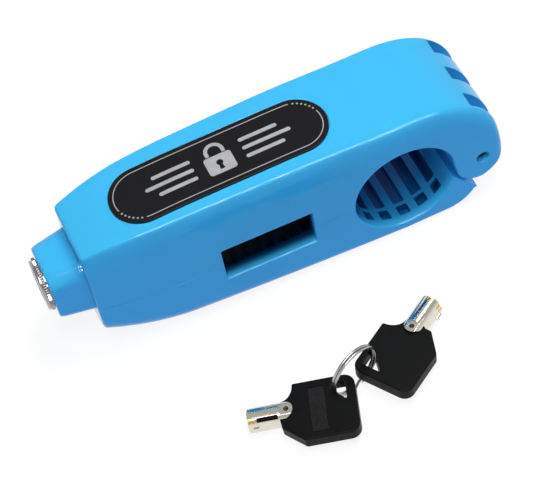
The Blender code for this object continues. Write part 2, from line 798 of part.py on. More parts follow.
def make_collar(look):
    """The tapered push collar with its stop."""
    rings = []
    edge = PARTING_EDGE * 2
    steps = ((COLLAR_FACE_X, 1.0, -edge), (COLLAR_FACE_X + edge / 3, 1.0, -edge / 3),
             (COLLAR_FACE_X + edge, 1.0, 0.0), (NOSE_X, 0.0, 0.0), (COLLAR_BACK_X, 0.0, 0.0))
    for x, taper, grow in steps:
        outline = collar_outline(COLLAR_HALF_WIDTH - COLLAR_TAPER_WIDTH * taper,
                                 COLLAR_HALF_HEIGHT - COLLAR_TAPER_HEIGHT * taper, grow)
        rings.append([on_axis("X", x, point) for point in outline])
    collar = loft("push_collar", rings)
    stop_top = LOCK_Z - COLLAR_HALF_HEIGHT + STOP_DROP / 4
    stop = box("collar_stop", (COLLAR_BACK_X - STOP_THICKNESS, -STOP_HALF_WIDTH, stop_top - STOP_DROP),
               (COLLAR_BACK_X - PARTING_EDGE / 4, STOP_HALF_WIDTH, stop_top))
    add(collar, stop)
    cut(collar, rod("collar_bore", "X", LOCK_AXIS, BARREL_RADIUS + FIT, COLLAR_FACE_X - CUT_MARGIN,
                    COLLAR_BACK_X + CUT_MARGIN, ROUND_SIDES))
    set_origin(collar, (NOSE_X, 0.0, LOCK_Z))
    return finish(collar, look)


def make_barrel(look):
    """The lock barrel: bezel, body, threaded tail, plug bore and bolt hole in one turned piece."""
    bore = PLUG_RADIUS + FIT
    bore_back = PLUG_BACK_X + FIT
    hole = BOLT_RADIUS + SLIDE_FIT
    profile = (
        (BEZEL_FACE_X, bore), (BEZEL_FACE_X, BEZEL_RADIUS - BEZEL_CHAMFER),
        (BEZEL_FACE_X + BEZEL_CHAMFER, BEZEL_RADIUS), (BEZEL_BACK_X, BEZEL_RADIUS),
        (BEZEL_BACK_X, BARREL_RADIUS), (COLLAR_BACK_X, BARREL_RADIUS),
        (COLLAR_BACK_X, TAIL_RADIUS), (TAIL_X, TAIL_RADIUS), (TAIL_X, hole),
        (bore_back, hole), (bore_back, bore),
    )
    barrel = turned("lock_barrel", "X", LOCK_AXIS, profile, ROUND_SIDES, hollow=True)
    retainer_hole = rod("retainer_hole", "Z", (RETAINER_X, 0.0), RETAINER_RADIUS + FIT / 2,
                        LOCK_Z + PLUG_RADIUS - CUT_MARGIN, LOCK_Z + BARREL_RADIUS + CUT_MARGIN, 12)
    cut(barrel, retainer_hole)
    set_origin(barrel, (NOSE_X, 0.0, LOCK_Z))
    return finish(barrel, look)


def make_retainer(look):
    """The pin through the barrel that keeps the plug in."""
    low = LOCK_Z + PLUG_RADIUS - RETAINER_GROOVE + FIT
    pin = rod("plug_retainer", "Z", (RETAINER_X, 0.0), RETAINER_RADIUS, low, LOCK_Z + BARREL_RADIUS, 12)
    set_origin(pin, (NOSE_X, 0.0, LOCK_Z))
    return finish(pin, look)


def make_nut(look):
    """The hexagon nut behind the collar."""
    corner = NUT_ACROSS_FLATS / math.sqrt(3.0)
    nut = prism("barrel_nut", "X", circle(corner, 6, LOCK_AXIS), NUT_X, NUT_X + NUT_THICKNESS)
    cut(nut, rod("nut_bore", "X", LOCK_AXIS, TAIL_RADIUS + FIT, NUT_X - CUT_MARGIN,
                 NUT_X + NUT_THICKNESS + CUT_MARGIN, ROUND_SIDES))
    set_origin(nut, (NOSE_X, 0.0, LOCK_Z))
    return finish(nut, look)


def tumbler_places():
    """Centres (y, z) of the tumbler pins round the keyway."""
    return circle(TUMBLER_CIRCLE, TUMBLER_COUNT, LOCK_AXIS)


def make_plug(look):
    """The plug that the key turns: centre post, keyway, tumbler wells and drive socket."""
    groove = PLUG_RADIUS - RETAINER_GROOVE
    groove_half = RETAINER_RADIUS + FIT
    socket = STUD_RADIUS + FIT
    profile = (
        (PLUG_FACE_X, KEYWAY_OUTER), (PLUG_FACE_X, PLUG_RADIUS),
        (RETAINER_X - groove_half, PLUG_RADIUS), (RETAINER_X - groove_half, groove),
        (RETAINER_X + groove_half, groove), (RETAINER_X + groove_half, PLUG_RADIUS),
        (PLUG_BACK_X, PLUG_RADIUS), (PLUG_BACK_X, socket),
        (PLUG_BACK_X - STUD_LENGTH - FIT, socket), (PLUG_BACK_X - STUD_LENGTH - FIT, socket / 4),
        (PLUG_FACE_X, socket / 4), (PLUG_FACE_X, KEYWAY_INNER),
        (PLUG_FACE_X + KEYWAY_DEPTH, KEYWAY_INNER), (PLUG_FACE_X + KEYWAY_DEPTH, KEYWAY_OUTER),
    )
    plug = turned("lock_plug", "X", LOCK_AXIS, profile, 36, hollow=True)
    wells = []
    floor = PLUG_FACE_X + KEYWAY_DEPTH
    for index, centre in enumerate(tumbler_places()):
        wells.append(rod(f"well_{index}", "X", centre, TUMBLER_RADIUS + FIT / 2,
                         floor - CUT_MARGIN, floor + TUMBLER_WELL, 10))
    cut(plug, merged("tumbler_wells", wells))
    set_origin(plug, (NOSE_X, 0.0, LOCK_Z))
    return finish(plug, look)


def make_tumbler(index, centre, look):
    """One tumbler pin, flush with the plug's face at rest."""
    low = PLUG_FACE_X
    chamfer = TUMBLER_RADIUS / 3
    profile = ((low, TUMBLER_RADIUS - chamfer), (low + chamfer, TUMBLER_RADIUS),
               (low + TUMBLER_LENGTH, TUMBLER_RADIUS))
    pin = turned(f"tumbler_pin_{index}", "X", centre, profile, 10)
    set_origin(pin, (low, *centre))
    return finish(pin, look)


def make_bolt(look):
    """The turning bolt: drive stud, shank and a cross head that passes the catch and turns."""
    stud_x = PLUG_BACK_X - STUD_LENGTH
    shank_x = PLUG_BACK_X + FIT
    profile = ((stud_x, STUD_RADIUS), (shank_x, STUD_RADIUS), (shank_x, BOLT_RADIUS),
               (HEAD_X + HEAD_THICKNESS / 2, BOLT_RADIUS))
    bolt = turned("lock_bolt", "X", LOCK_AXIS, profile, 24)
    low_z = LOCK_Z - HEAD_WIDTH / 2
    head = box("bolt_head", (HEAD_X, -HEAD_LENGTH / 2, low_z),
               (HEAD_X + HEAD_THICKNESS, HEAD_LENGTH / 2, low_z + HEAD_WIDTH))
    add(bolt, head)
    set_origin(bolt, (NOSE_X, 0.0, LOCK_Z))
    return finish(bolt, look)


def make_spring(look):
    """The return spring round the bolt, between barrel and guide."""
    count = SPRING_TURN_COUNT * SPRING_POINT_COUNT
    points = []
    for step in range(count + 1):
        angle = 2.0 * math.pi * step / SPRING_POINT_COUNT
        x = SPRING_X + SPRING_WIRE + (SPRING_LENGTH - 2 * SPRING_WIRE) * step / count
        points.append((x, SPRING_RADIUS * math.cos(angle), LOCK_Z + SPRING_RADIUS * math.sin(angle)))
    gap = least_gap(points, SPRING_WIRE, SPRING_POINT_COUNT - 1)
    print(f"return spring: least gap between turns {gap / MM:.2f} mm")
    return winding("return_spring", points, SPRING_WIRE, look)


def make_guide(look):
    """The bracket in the base that guides the bolt and backs the spring."""
    low = guide_foot_low()
    top = LOCK_Z + BOLT_RADIUS + GUIDE_ABOVE_BOLT
    far = GUIDE_X + GUIDE_FOOT
    outline = ((GUIDE_X, low), (far, low), (far, low + GUIDE_PLATE),
               (GUIDE_X + GUIDE_PLATE, low + GUIDE_PLATE), (GUIDE_X + GUIDE_PLATE, top), (GUIDE_X, top))
    guide = prism("bolt_guide", "Y", outline, -GUIDE_HALF_WIDTH, GUIDE_HALF_WIDTH)
    cut(guide, rod("guide_hole", "X", LOCK_AXIS, BOLT_RADIUS + SLIDE_FIT, GUIDE_X - CUT_MARGIN,
                   GUIDE_X + GUIDE_PLATE + CUT_MARGIN, 24))
    screw_wells(guide, "guide_screw_holes", guide_screw_x(), low - CUT_MARGIN, low + GUIDE_PLATE + CUT_MARGIN)
    return finish(guide, look)


def make_catch(look):
    """The catch plate that hangs from the cover and takes the bolt's head."""
    top = catch_foot_top()
    slot_half = HEAD_WIDTH / 2 + HEAD_CLEAR + (BOLT_RADIUS - HEAD_WIDTH / 2)
    low = LOCK_Z - slot_half - CATCH_MARGIN
    back = CATCH_X + CATCH_PLATE
    far = back + CATCH_FOOT
    outline = ((CATCH_X, low), (back, low), (back, top - CATCH_PLATE), (far, top - CATCH_PLATE),
               (far, top), (CATCH_X, top))
    catch = prism("catch_plate", "Y", outline, -CATCH_HALF_WIDTH, CATCH_HALF_WIDTH)
    wide = HEAD_LENGTH / 2 + HEAD_CLEAR
    cut(catch, box("catch_slot", (CATCH_X - CUT_MARGIN, -wide, LOCK_Z - slot_half),
                   (back + CUT_MARGIN, wide, LOCK_Z + slot_half)))
    screw_wells(catch, "catch_screw_holes", catch_screw_x(), top - CATCH_PLATE - CUT_MARGIN, top + CUT_MARGIN)
    set_origin(catch, (PIN_X, 0.0, PIN_Z))
    return finish(catch, look)


def make_screw(name, x, y, seat, up, look):
    """A pan-head screw: its head bears on the seat height and its shank points up or down."""
    sign = 1.0 if up else -1.0
    plate = CATCH_PLATE if up else GUIDE_PLATE
    head = seat - sign * SCREW_HEAD_HEIGHT
    tip = seat + sign * (FIT + plate + FIT + SCREW_BITE - FIT)
    profile = ((head, SCREW_HEAD_RADIUS * 0.7), (head + sign * SCREW_HEAD_HEIGHT / 2, SCREW_HEAD_RADIUS),
               (seat, SCREW_HEAD_RADIUS), (seat, SCREW_RADIUS), (tip, SCREW_RADIUS))
    screw = turned(name, "Z", (x, y), profile, 12)
    return finish(screw, look)


def make_screws(look):
    """The screws of the bolt guide and of the catch plate."""
    made = []
    for index, side in enumerate((-1, 1), start=1):
        y = side * SCREW_SPACING / 2
        seat = guide_foot_low() + GUIDE_PLATE + FIT
        made.append(make_screw(f"guide_screw_{index}", guide_screw_x(), y, seat, False, look))
        seat = catch_foot_top() - CATCH_PLATE - FIT
        screw = make_screw(f"catch_screw_{index}", catch_screw_x(), y, seat, True, look)
        set_origin(screw, (PIN_X, 0.0, PIN_Z))
        made.append(screw)
    return made


# Keys and ring


def hole_corner():
    """(u, v) of the square corner of a bow's quarter-round hole."""
    return (HOLE_END_MARGIN - BOW_LENGTH, BOW_OFFSET + HOLE_SIDE_MARGIN - BOW_WIDTH / 2)


def ring_side():
    """Unit vector along the split ring's plane, from the first key to the second."""
    return Vector((math.cos(RING_HEADING), math.sin(RING_HEADING), 0.0))


def ring_centre():
    """Centre of the split ring, which stands on the floor."""
    return Vector((RING_X, -HINGE_HALF_WIDTH - RING_FROM_SIDE, RING_RADIUS + RING_WIRE))


def bow_outline():
    """Outline (u, v) of a key's bow: a mouth, a chamfer, two round corners and a scallop."""
    left = BOW_OFFSET - BOW_WIDTH / 2
    right = BOW_OFFSET + BOW_WIDTH / 2
    mouth = BOW_OFFSET - BOW_MOUTH / 2
    far = BOW_CORNER - BOW_LENGTH
    points = [(0.0, mouth), (0.0, mouth + BOW_MOUTH), (-BOW_CHAMFER, right)]
    points += arc(far, right - BOW_CORNER, BOW_CORNER, 90.0, 180.0, 5)
    points += arc(far, left + BOW_CORNER, BOW_CORNER, 180.0, 270.0, 5)
    deep = mouth - left
    for degrees in range(0, 90, 18):
        turn = math.radians(degrees)
        points.append((-BOW_SCALLOP * math.cos(turn), left + deep * math.sin(turn)))
    return points


def hole_outline():
    """Outline (u, v) of the ring hole: a quarter disc with its square corner outwards."""
    u, v = hole_corner()
    return [(u, v)] + arc(u, v, HOLE_RADIUS, 0.0, 90.0, 6)


def make_bow(name, look):
    """A key's plastic bow."""
    half = BOW_THICKNESS / 2
    bow = prism(name, "Z", bow_outline(), -half, half)
    bevel(bow, BOW_EDGE)
    cut(bow, prism(name + "_hole", "Z", hole_outline(), -half - CUT_MARGIN, half + CUT_MARGIN))
    panel_u = -PANEL_FROM_MOUTH
    panel_v = BOW_OFFSET - PANEL_WIDTH / 2
    cut(bow, box(name + "_panel", (panel_u - PANEL_LENGTH / 2, panel_v, half - PANEL_DEPTH),
                 (panel_u + PANEL_LENGTH / 2, panel_v + PANEL_WIDTH, half + CUT_MARGIN)))
    rivet = (-TONGUE_LENGTH / 2, 0.0)
    cut(bow, rod(name + "_rivet_hole", "Z", rivet, RIVET_RADIUS + FIT, -half - CUT_MARGIN,
                 half + CUT_MARGIN, 12))
    return finish(bow, look)


def make_tube(name, look):
    """A key's steel tube with its two riveted tongues and the cuts in its tip."""
    inner = KEY_TUBE_RADIUS - KEY_TUBE_WALL
    profile = ((-TONGUE_LENGTH, inner), (-TONGUE_LENGTH, KEY_TUBE_RADIUS),
               (KEY_TUBE_LENGTH, KEY_TUBE_RADIUS), (KEY_TUBE_LENGTH, inner))
    tube = turned(name, "X", (0.0, 0.0), profile, 32, hollow=True)
    wide = KEY_TUBE_RADIUS + CUT_MARGIN
    gap = BOW_THICKNESS / 2 + FIT
    cut(tube, box(name + "_gap", (-TONGUE_LENGTH - CUT_MARGIN, -wide, -gap), (FIT, wide, gap)))
    tongue = math.sqrt(KEY_TUBE_RADIUS ** 2 - gap ** 2)
    outline = [(-TONGUE_LENGTH - CUT_MARGIN, wide), (-TONGUE_LENGTH - CUT_MARGIN, -wide)]
    outline += [(tongue - TONGUE_LENGTH, -wide)]
    outline += arc(tongue - TONGUE_LENGTH, 0.0, tongue, 270.0, 90.0, 10)
    outline += [(tongue - TONGUE_LENGTH, wide)]
    cut(tube, prism(name + "_end", "Z", outline, -wide, wide))
    rivet = (-TONGUE_LENGTH / 2, 0.0)
    cut(tube, rod(name + "_rivet_hole", "Z", rivet, RIVET_RADIUS + FIT, -wide, wide, 12))
    bits = []
    for index, depth in enumerate(BIT_DEPTHS):
        angle = 2.0 * math.pi * index / len(BIT_DEPTHS)
        out = Vector((math.cos(angle), math.sin(angle)))
        side = Vector((-out.y, out.x)) * (BIT_WIDTH / 2)
        near = out * (inner - KEY_TUBE_WALL / 2)
        beyond = out * wide
        outline = [tuple(p) for p in (near - side, beyond - side, beyond + side, near + side)]
        bits.append(prism(f"{name}_bit_{index}", "X", outline, KEY_TUBE_LENGTH - depth * MM,
                          KEY_TUBE_LENGTH + CUT_MARGIN))
    cut(tube, merged(name + "_bits", bits))
    return finish(tube, look)


def make_rivet(name, look):
    """The rivet through a key's tongues and bow."""
    seat = KEY_TUBE_RADIUS + FIT / 2
    top = seat + RIVET_HEAD_HEIGHT
    profile = ((-top, RIVET_HEAD_RADIUS), (-seat, RIVET_HEAD_RADIUS), (-seat, RIVET_RADIUS),
               (seat, RIVET_RADIUS), (seat, RIVET_HEAD_RADIUS), (top, RIVET_HEAD_RADIUS))
    rivet = turned(name, "Z", (-TONGUE_LENGTH / 2, 0.0), profile, 14)
    return finish(rivet, look)


def ring_across():
    """Unit vector square to the split ring's plane."""
    return Vector((-math.sin(RING_HEADING), math.cos(RING_HEADING), 0.0))


def make_key(number, looks):
    """One key, hung on the ring by an empty on its swing axis; the second lies face down."""
    flip = number == 2
    outward = -1.0 if number == 1 else 1.0
    heading = KEY_HEADINGS[number - 1]
    corner_u, corner_v = hole_corner()
    pose = Matrix.Rotation(heading, 4, "Z") @ Matrix.Rotation(KEY_TILT, 4, "Y")
    if flip:
        pose = pose @ Matrix.Rotation(math.pi, 4, "X")
    lean = Vector((corner_u, -corner_v if flip else corner_v, 0.0))
    flat = Matrix.Rotation(heading, 3, "Z") @ lean
    spot = ring_centre() + ring_side() * (outward * HOLE_FROM_RING)
    spot += ring_across() * KEY_SHIFTS[number - 1]
    lift = KEY_TUBE_RADIUS * math.cos(KEY_TILT) + KEY_TUBE_LENGTH * math.sin(KEY_TILT)
    pose = Matrix.Translation((spot.x - flat.x, spot.y - flat.y, lift)) @ pose
    drop = ring_centre().z - lift + corner_u * math.sin(KEY_TILT)
    swing = ring_centre() + ring_side() * (outward * math.sqrt(RING_RADIUS ** 2 - drop ** 2))
    pivot = bpy.data.objects.new(f"key_{number}_pivot", None)
    pivot.location = swing
    bpy.context.scene.collection.objects.link(pivot)
    bpy.context.view_layer.update()
    name = f"key_{number}"
    pieces = (make_bow(name + "_bow", looks["bow"]), make_tube(name + "_tube", looks["nickel"]),
              make_rivet(name + "_rivet", looks["nickel"]))
    for piece in pieces:
        place_key_piece(piece, pivot, pose)


def place_key_piece(piece, pivot, pose):
    """Hang a key's piece and its cutters on the pivot, in the key's pose."""
    tools = [item.object for item in piece.modifiers if item.type == "BOOLEAN"]
    for item in (piece, *tools):
        item.parent = pivot
        item.matrix_parent_inverse = pivot.matrix_world.inverted()
        item.matrix_basis = pose


def make_ring(look):
    """The split ring: two turns of wire, standing on the floor."""
    count = RING_TURN_COUNT * RING_POINT_COUNT
    centre = ring_centre()
    points = []
    for step in range(count + 1):
        angle = 2.0 * math.pi * step / RING_POINT_COUNT
        shift = RING_PITCH * (step / RING_POINT_COUNT - RING_TURN_COUNT / 2)
        out = Vector((0.0, 0.0, math.cos(angle))) - ring_side() * math.sin(angle)
        points.append(tuple(centre + out * RING_RADIUS + ring_across() * shift))
    gap = least_gap(points, RING_WIRE, RING_POINT_COUNT - 1)
    print(f"split ring: least gap between turns {gap / MM:.2f} mm")
    return winding("split_ring", points, RING_WIRE, look)


def clear_scene():
    """Remove whatever the scene holds."""
    for item in list(bpy.data.objects):
        bpy.data.objects.remove(item, do_unlink=True)


def main():
    """Build every piece of the lock set."""
    clear_scene()
    blue = material("glossy_blue_plastic", (0.020, 0.330, 0.800), 0.18)
    black = material("black_badge", (0.012, 0.012, 0.014), 0.12)
    chrome = material("chrome", (0.75, 0.75, 0.76), 0.08, 1.0)
    steel = material("steel", (0.50, 0.50, 0.52), 0.30, 1.0)
    brass = material("brass", (0.62, 0.42, 0.16), 0.28, 1.0)
    looks = {
        "bow": material("black_bow_plastic", (0.014, 0.014, 0.014), 0.42),
        "nickel": material("nickel", (0.66, 0.62, 0.52), 0.16, 1.0),
    }
    make_base(blue)
    make_cover(blue)
    make_hinge_pin(steel)
    make_badge(black)
    make_collar(blue)
    make_barrel(chrome)
    make_retainer(steel)
    make_nut(brass)
    make_plug(chrome)
    for index, centre in enumerate(tumbler_places(), start=1):
        make_tumbler(index, centre, brass)
    make_bolt(steel)
    make_spring(steel)
    make_guide(steel)
    make_catch(steel)
    make_screws(steel)
    make_key(1, looks)
    make_key(2, looks)
    make_ring(steel)


main()
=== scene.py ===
"""Dressed scene of a clam-shell grip lock with two tubular keys on a split ring.

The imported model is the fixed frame. Every piece is modelled in its place, in metres, and rides on
the body that carries the solid it stands for. X runs from the lock cylinder to the hinge, Z is up.
"""
import json
import logging
import math
from dataclasses import dataclass
from enum import Enum
from typing import Iterable, Sequence

import bpy
from mathutils import Matrix, Vector

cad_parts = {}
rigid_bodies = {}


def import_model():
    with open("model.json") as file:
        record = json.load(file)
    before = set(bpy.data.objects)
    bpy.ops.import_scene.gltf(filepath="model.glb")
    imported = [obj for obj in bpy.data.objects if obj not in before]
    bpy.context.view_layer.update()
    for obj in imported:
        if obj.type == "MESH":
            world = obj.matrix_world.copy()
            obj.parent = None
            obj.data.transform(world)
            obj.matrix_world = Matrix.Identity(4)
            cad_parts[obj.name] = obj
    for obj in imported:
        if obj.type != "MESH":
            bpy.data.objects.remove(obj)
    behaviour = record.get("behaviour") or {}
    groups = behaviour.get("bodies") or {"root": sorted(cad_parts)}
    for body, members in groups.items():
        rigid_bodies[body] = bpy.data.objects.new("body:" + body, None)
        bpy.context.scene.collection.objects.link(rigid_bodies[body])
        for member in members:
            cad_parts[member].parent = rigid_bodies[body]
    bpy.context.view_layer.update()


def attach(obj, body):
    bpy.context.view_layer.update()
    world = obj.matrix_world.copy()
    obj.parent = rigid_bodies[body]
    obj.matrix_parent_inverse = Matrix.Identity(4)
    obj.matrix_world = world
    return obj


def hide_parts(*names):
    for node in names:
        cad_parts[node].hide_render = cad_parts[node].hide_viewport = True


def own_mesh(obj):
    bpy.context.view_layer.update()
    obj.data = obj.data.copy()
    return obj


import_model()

LOG = logging.getLogger("grip_lock")
MM = 0.001
PAST = 2.0 * MM  # how far a cutting tool passes the face that it starts from
Point2 = tuple[float, float]
Point3 = tuple[float, float, float]
Colour = tuple[float, float, float]
Piece = bpy.types.Object
Look = bpy.types.Material
Socket = bpy.types.NodeSocket


class Join(Enum):
    """How a tool meets the piece that it works on."""

    CUT = "DIFFERENCE"
    FUSE = "UNION"
    KEEP = "INTERSECT"


class Axis(Enum):
    """A direction of the lock's frame."""

    X = (1.0, 0.0, 0.0)
    Y = (0.0, 1.0, 0.0)
    Z = (0.0, 0.0, 1.0)

    def place(self, along: float, a: float, b: float) -> Point3:
        """Put a distance along the axis and two across it in order.

        Args:
            along: Distance along this axis.
            a: First coordinate across it.
            b: Second coordinate across it.

        Returns:
            The point in the lock's frame.
        """
        if self is Axis.X:
            return (along, a, b)
        if self is Axis.Y:
            return (a, along, b)
        return (a, b, along)


class Slot(Enum):
    """Material slots of the record."""

    BLUE = "blue_shell"
    BADGE = "badge"
    CHROME = "chrome"
    STEEL = "steel"
    SPRING = "spring_steel"
    RING = "ring_steel"
    BRASS = "brass"
    BOW = "bow_plastic"
    NICKEL = "key_nickel"


class NodeTree:
    """The nodes of a material or a world, with short ways to add to them."""

    def __init__(self, owner: Look | bpy.types.World) -> None:
        """Take hold of the nodes.

        Args:
            owner: Material or world that the nodes belong to.
        """
        owner.use_nodes = True
        self.nodes = owner.node_tree.nodes
        self.link = owner.node_tree.links.new

    def fill(self, node: bpy.types.Node, inputs: dict[str | int, object]) -> None:
        """Link sockets to a node's inputs and set constants directly on them.

        Args:
            node: Node that is changed.
            inputs: Sockets or constants by the input's name or number.
        """
        for key, value in inputs.items():
            if isinstance(value, Socket):
                self.link(value, node.inputs[key])
            else:
                node.inputs[key].default_value = value

    def add(self, kind: str, inputs: dict[str | int, object] | None = None) -> bpy.types.Node:
        """Add a node and give it its inputs.

        Args:
            kind: Type of the node.
            inputs: Sockets or constants by the input's name or number.

        Returns:
            The new node.
        """
        node = self.nodes.new(kind)
        self.fill(node, inputs or {})
        return node

    def math(self, operation: str, first: Socket | float, second: Socket | float = 0.0) -> Socket:
        """Work one value out of two.

        Args:
            operation: What is done with them.
            first: First value.
            second: Second value, left alone by an operation on one.

        Returns:
            The result.
        """
        node = self.add("ShaderNodeMath", {0: first, 1: second})
        node.operation = operation
        return node.outputs["Value"]

    def within(self, value: Socket, reach: float, fade: float) -> Socket:
        """Tell whether a value stays under a reach.

        Args:
            value: Value that is tested.
            reach: Where the result has fallen to 0.
            fade: How far under the reach it is still 1.

        Returns:
            The result, 0 to 1.
        """
        fall = self.add("ShaderNodeMapRange",
                        {"Value": value, "From Min": reach, "From Max": reach - fade})
        fall.interpolation_type = "SMOOTHSTEP"
        return fall.outputs["Result"]

    def noise(self, spot: Socket, scale: float, detail: float) -> Socket:
        """A noise texture of a given scale, in patches per metre."""
        inputs = {"Vector": spot, "Scale": scale, "Detail": detail}
        return self.add("ShaderNodeTexNoise", inputs).outputs["Fac"]


@dataclass(frozen=True)
class Finish:
    """A surface finish: a clouded colour, a wandering polish and a fine relief."""

    name: str
    colour: Colour
    roughness: float
    metallic: float = 0.0
    specular: float = 0.5
    shade: float = 0.05
    cloud: float = 45.0
    polish: float = 0.04
    grain: float = 700.0
    relief: float = 0.03
    stretch: Point3 = (1.0, 1.0, 1.0)
    stops: Point2 = (0.3, 0.7)
    wear: Point2 = (0.25, 0.75)
    wear_share: float = 4.0
    smoothest: float = 0.02
    relief_depth: float = 0.1 * MM

    def make(self) -> Look:
        """Build the node material.

        Returns:
            The new material.
        """
        made = bpy.data.materials.new(self.name)
        tree = NodeTree(made)
        place = tree.add("ShaderNodeTexCoord").outputs["Object"]
        mapping = tree.add("ShaderNodeMapping", {"Scale": self.stretch, "Vector": place})
        spot = mapping.outputs["Vector"]
        ramp = tree.add("ShaderNodeValToRGB", {"Fac": tree.noise(spot, self.cloud, 3.0)})
        shares = (1.0 - self.shade, 1.0 + self.shade)
        for stop, position, share in zip(ramp.color_ramp.elements, self.stops, shares):
            stop.position = position
            stop.color = self._tone(share)
        polish = tree.add("ShaderNodeMapRange", {
            "Value": tree.noise(spot, self.cloud * self.wear_share, 2.0),
            "From Min": self.wear[0], "From Max": self.wear[1],
            "To Min": max(self.smoothest, self.roughness - self.polish),
            "To Max": self.roughness + self.polish})
        bump = tree.add("ShaderNodeBump", {
            "Height": tree.noise(spot, self.grain, 2.0), "Strength": self.relief,
            "Distance": self.relief_depth})
        tree.fill(tree.nodes["Principled BSDF"], {
            "Base Color": ramp.outputs["Color"], "Metallic": self.metallic,
            "Roughness": polish.outputs["Result"], "Specular IOR Level": self.specular,
            "Normal": bump.outputs["Normal"]})
        return made

    def _tone(self, share: float) -> tuple[float, float, float, float]:
        """The finish's colour made lighter or darker by a share."""
        return (*[min(1.0, part * share) for part in self.colour], 1.0)


@dataclass(frozen=True)
class PaintedShadeShellFinish(Finish):
    """A finish that is polished outside, with painted shade that darkens its colour in the hollow of the closed shells
    and further in the lever slot.

    A reach is how far the painted shade goes from the hollow's middle, with the width of the soft edge after it.
    """

    # Painted shade: the hollow colour multiplies the blue inside the shells, and the slot colour darkens it further in
    # the lever slot.
    hollow: Colour = (0.14, 0.22, 0.38)
    slot: Colour = (0.35, 0.30, 0.30)
    middle_x: float = 20.5 * MM
    middle_z: float = 29.0 * MM
    reach_x: Point2 = (60.5 * MM, 6.0 * MM)
    reach_y: Point2 = (21.9 * MM, 4.5 * MM)
    reach_z: Point2 = (28.4 * MM, 0.8 * MM)
    reach_slot: Point2 = (27.0 * MM, 5.0 * MM)
    bore: Point2 = (58.0 * MM, 27.2 * MM)
    reach_bore: Point2 = (21.9 * MM, 0.4 * MM)
    # How much less painted shade the bore's lining gets.
    liner_share: float = 0.45
    waist: float = 3.2 * MM
    waist_share: float = 7.81

    def make(self) -> Look:
        """Build the material, with painted shade that darkens its colour inside the shells.

        Returns:
            The new material.
        """
        made = super().make()
        tree = NodeTree(made)
        spot = tree.add("ShaderNodeTexCoord").outputs["Object"]
        x, y, z = tree.add("ShaderNodeSeparateXYZ", {"Vector": spot}).outputs
        # Share of painted shade inside the shells, and of the further painted shade in the lever slot.
        inside = self._painted_shade_share(tree, x, y, z)
        slot_painted_shade = tree.within(tree.math("ABSOLUTE", x), *self.reach_slot)
        base = tree.nodes["Principled BSDF"].inputs["Base Color"]
        slot_painted_shade = tree.math("MULTIPLY", inside, slot_painted_shade)
        # Multiply the base colour by the painted shade colours.
        for share, colour in ((inside, self.hollow), (slot_painted_shade, self.slot)):
            tone = tree.add("ShaderNodeMixRGB", {
                "Fac": share, "Color1": base.links[0].from_socket, "Color2": (*colour, 1.0)})
            tone.blend_type = "MULTIPLY"
            tree.link(tone.outputs["Color"], base)
        return made

    def _painted_shade_share(self, tree: NodeTree, x: Socket, y: Socket, z: Socket) -> Socket:
        """How much painted shade a place inside the shells gets, less on the bore's lining.

        Args:
            tree: Nodes that are added to.
            x: Place along the lock.
            y: Place across it.
            z: Its height.

        Returns:
            The share of painted shade, 0 to 1.
        """
        along = tree.math("ABSOLUTE", tree.math("SUBTRACT", x, self.middle_x))
        level = tree.math("ABSOLUTE", tree.math("SUBTRACT", z, self.middle_z))
        ahead = tree.math("MAXIMUM", tree.math("SUBTRACT", self.bore[0], x))
        sweep = tree.math("MULTIPLY", ahead, self.waist_share)
        drawn_in = tree.math("MULTIPLY", tree.math("MULTIPLY", sweep, sweep), self.waist)
        across = tree.math("ADD", tree.math("ABSOLUTE", y), drawn_in)
        squares = []
        for place, middle in zip((x, z), self.bore):
            off = tree.math("SUBTRACT", place, middle)
            squares.append(tree.math("MULTIPLY", off, off))
        radius = tree.math("SQRT", tree.math("ADD", *squares))
        liner = tree.math("MULTIPLY", tree.within(radius, *self.reach_bore), self.liner_share)
        share = tree.math("SUBTRACT", 1.0, liner)
        for value, reach in ((along, self.reach_x), (level, self.reach_z), (across, self.reach_y)):
            share = tree.math("MULTIPLY", share, tree.within(value, *reach))
        return share


# Blue plastic whose colour carries painted shade inside the shells.
GLOSS_BLUE = PaintedShadeShellFinish("gloss_blue_plastic", (0.058, 0.535, 0.960), 0.08, specular=0.12,
                         shade=0.02, cloud=30.0, polish=0.02, grain=260.0, relief=0.02)
BADGE_BLACK = Finish("badge_gloss_black", (0.008, 0.008, 0.010), 0.14, specular=0.20, shade=0.15,
                     grain=1500.0)
SILVER_PRINT = Finish("silver_print", (0.44, 0.45, 0.48), 0.38, 0.2, shade=0.08, cloud=300.0,
                      grain=4000.0)
CHROME = Finish("polished_chrome", (0.36, 0.35, 0.36), 0.13, 1.0, cloud=120.0, polish=0.03)
PLATED_STEEL = Finish("plated_steel", (0.56, 0.56, 0.58), 0.30, 1.0, shade=0.10, cloud=140.0,
                      polish=0.08, grain=2200.0, relief=0.06, stretch=(0.15, 1.0, 1.0))
SPRING_WIRE = Finish("drawn_spring_wire", (0.46, 0.46, 0.48), 0.26, 1.0, shade=0.10, cloud=400.0,
                     polish=0.06)
RING_WIRE = Finish("bright_ring_wire", (0.46, 0.45, 0.42), 0.25, 1.0, shade=0.08, cloud=500.0,
                   polish=0.05)
BRASS = Finish("turned_brass", (0.66, 0.46, 0.19), 0.26, 1.0, shade=0.08, cloud=300.0, polish=0.06,
               grain=3000.0, relief=0.05, stretch=(6.0, 1.0, 1.0))
BOW_PLASTIC = Finish("satin_bow_plastic", (0.003, 0.003, 0.003), 0.42, specular=0.09, shade=0.12,
                     cloud=150.0, polish=0.06, grain=3800.0, relief=0.22)
BOW_PANEL = Finish("smooth_bow_panel", (0.013, 0.013, 0.014), 0.26, specular=0.17, shade=0.12,
                   cloud=200.0, polish=0.05, grain=900.0, relief=0.04)
DARK_RIVET = Finish("dark_rivet_steel", (0.05, 0.05, 0.055), 0.4, 1.0, shade=0.15, cloud=600.0,
                    polish=0.08)
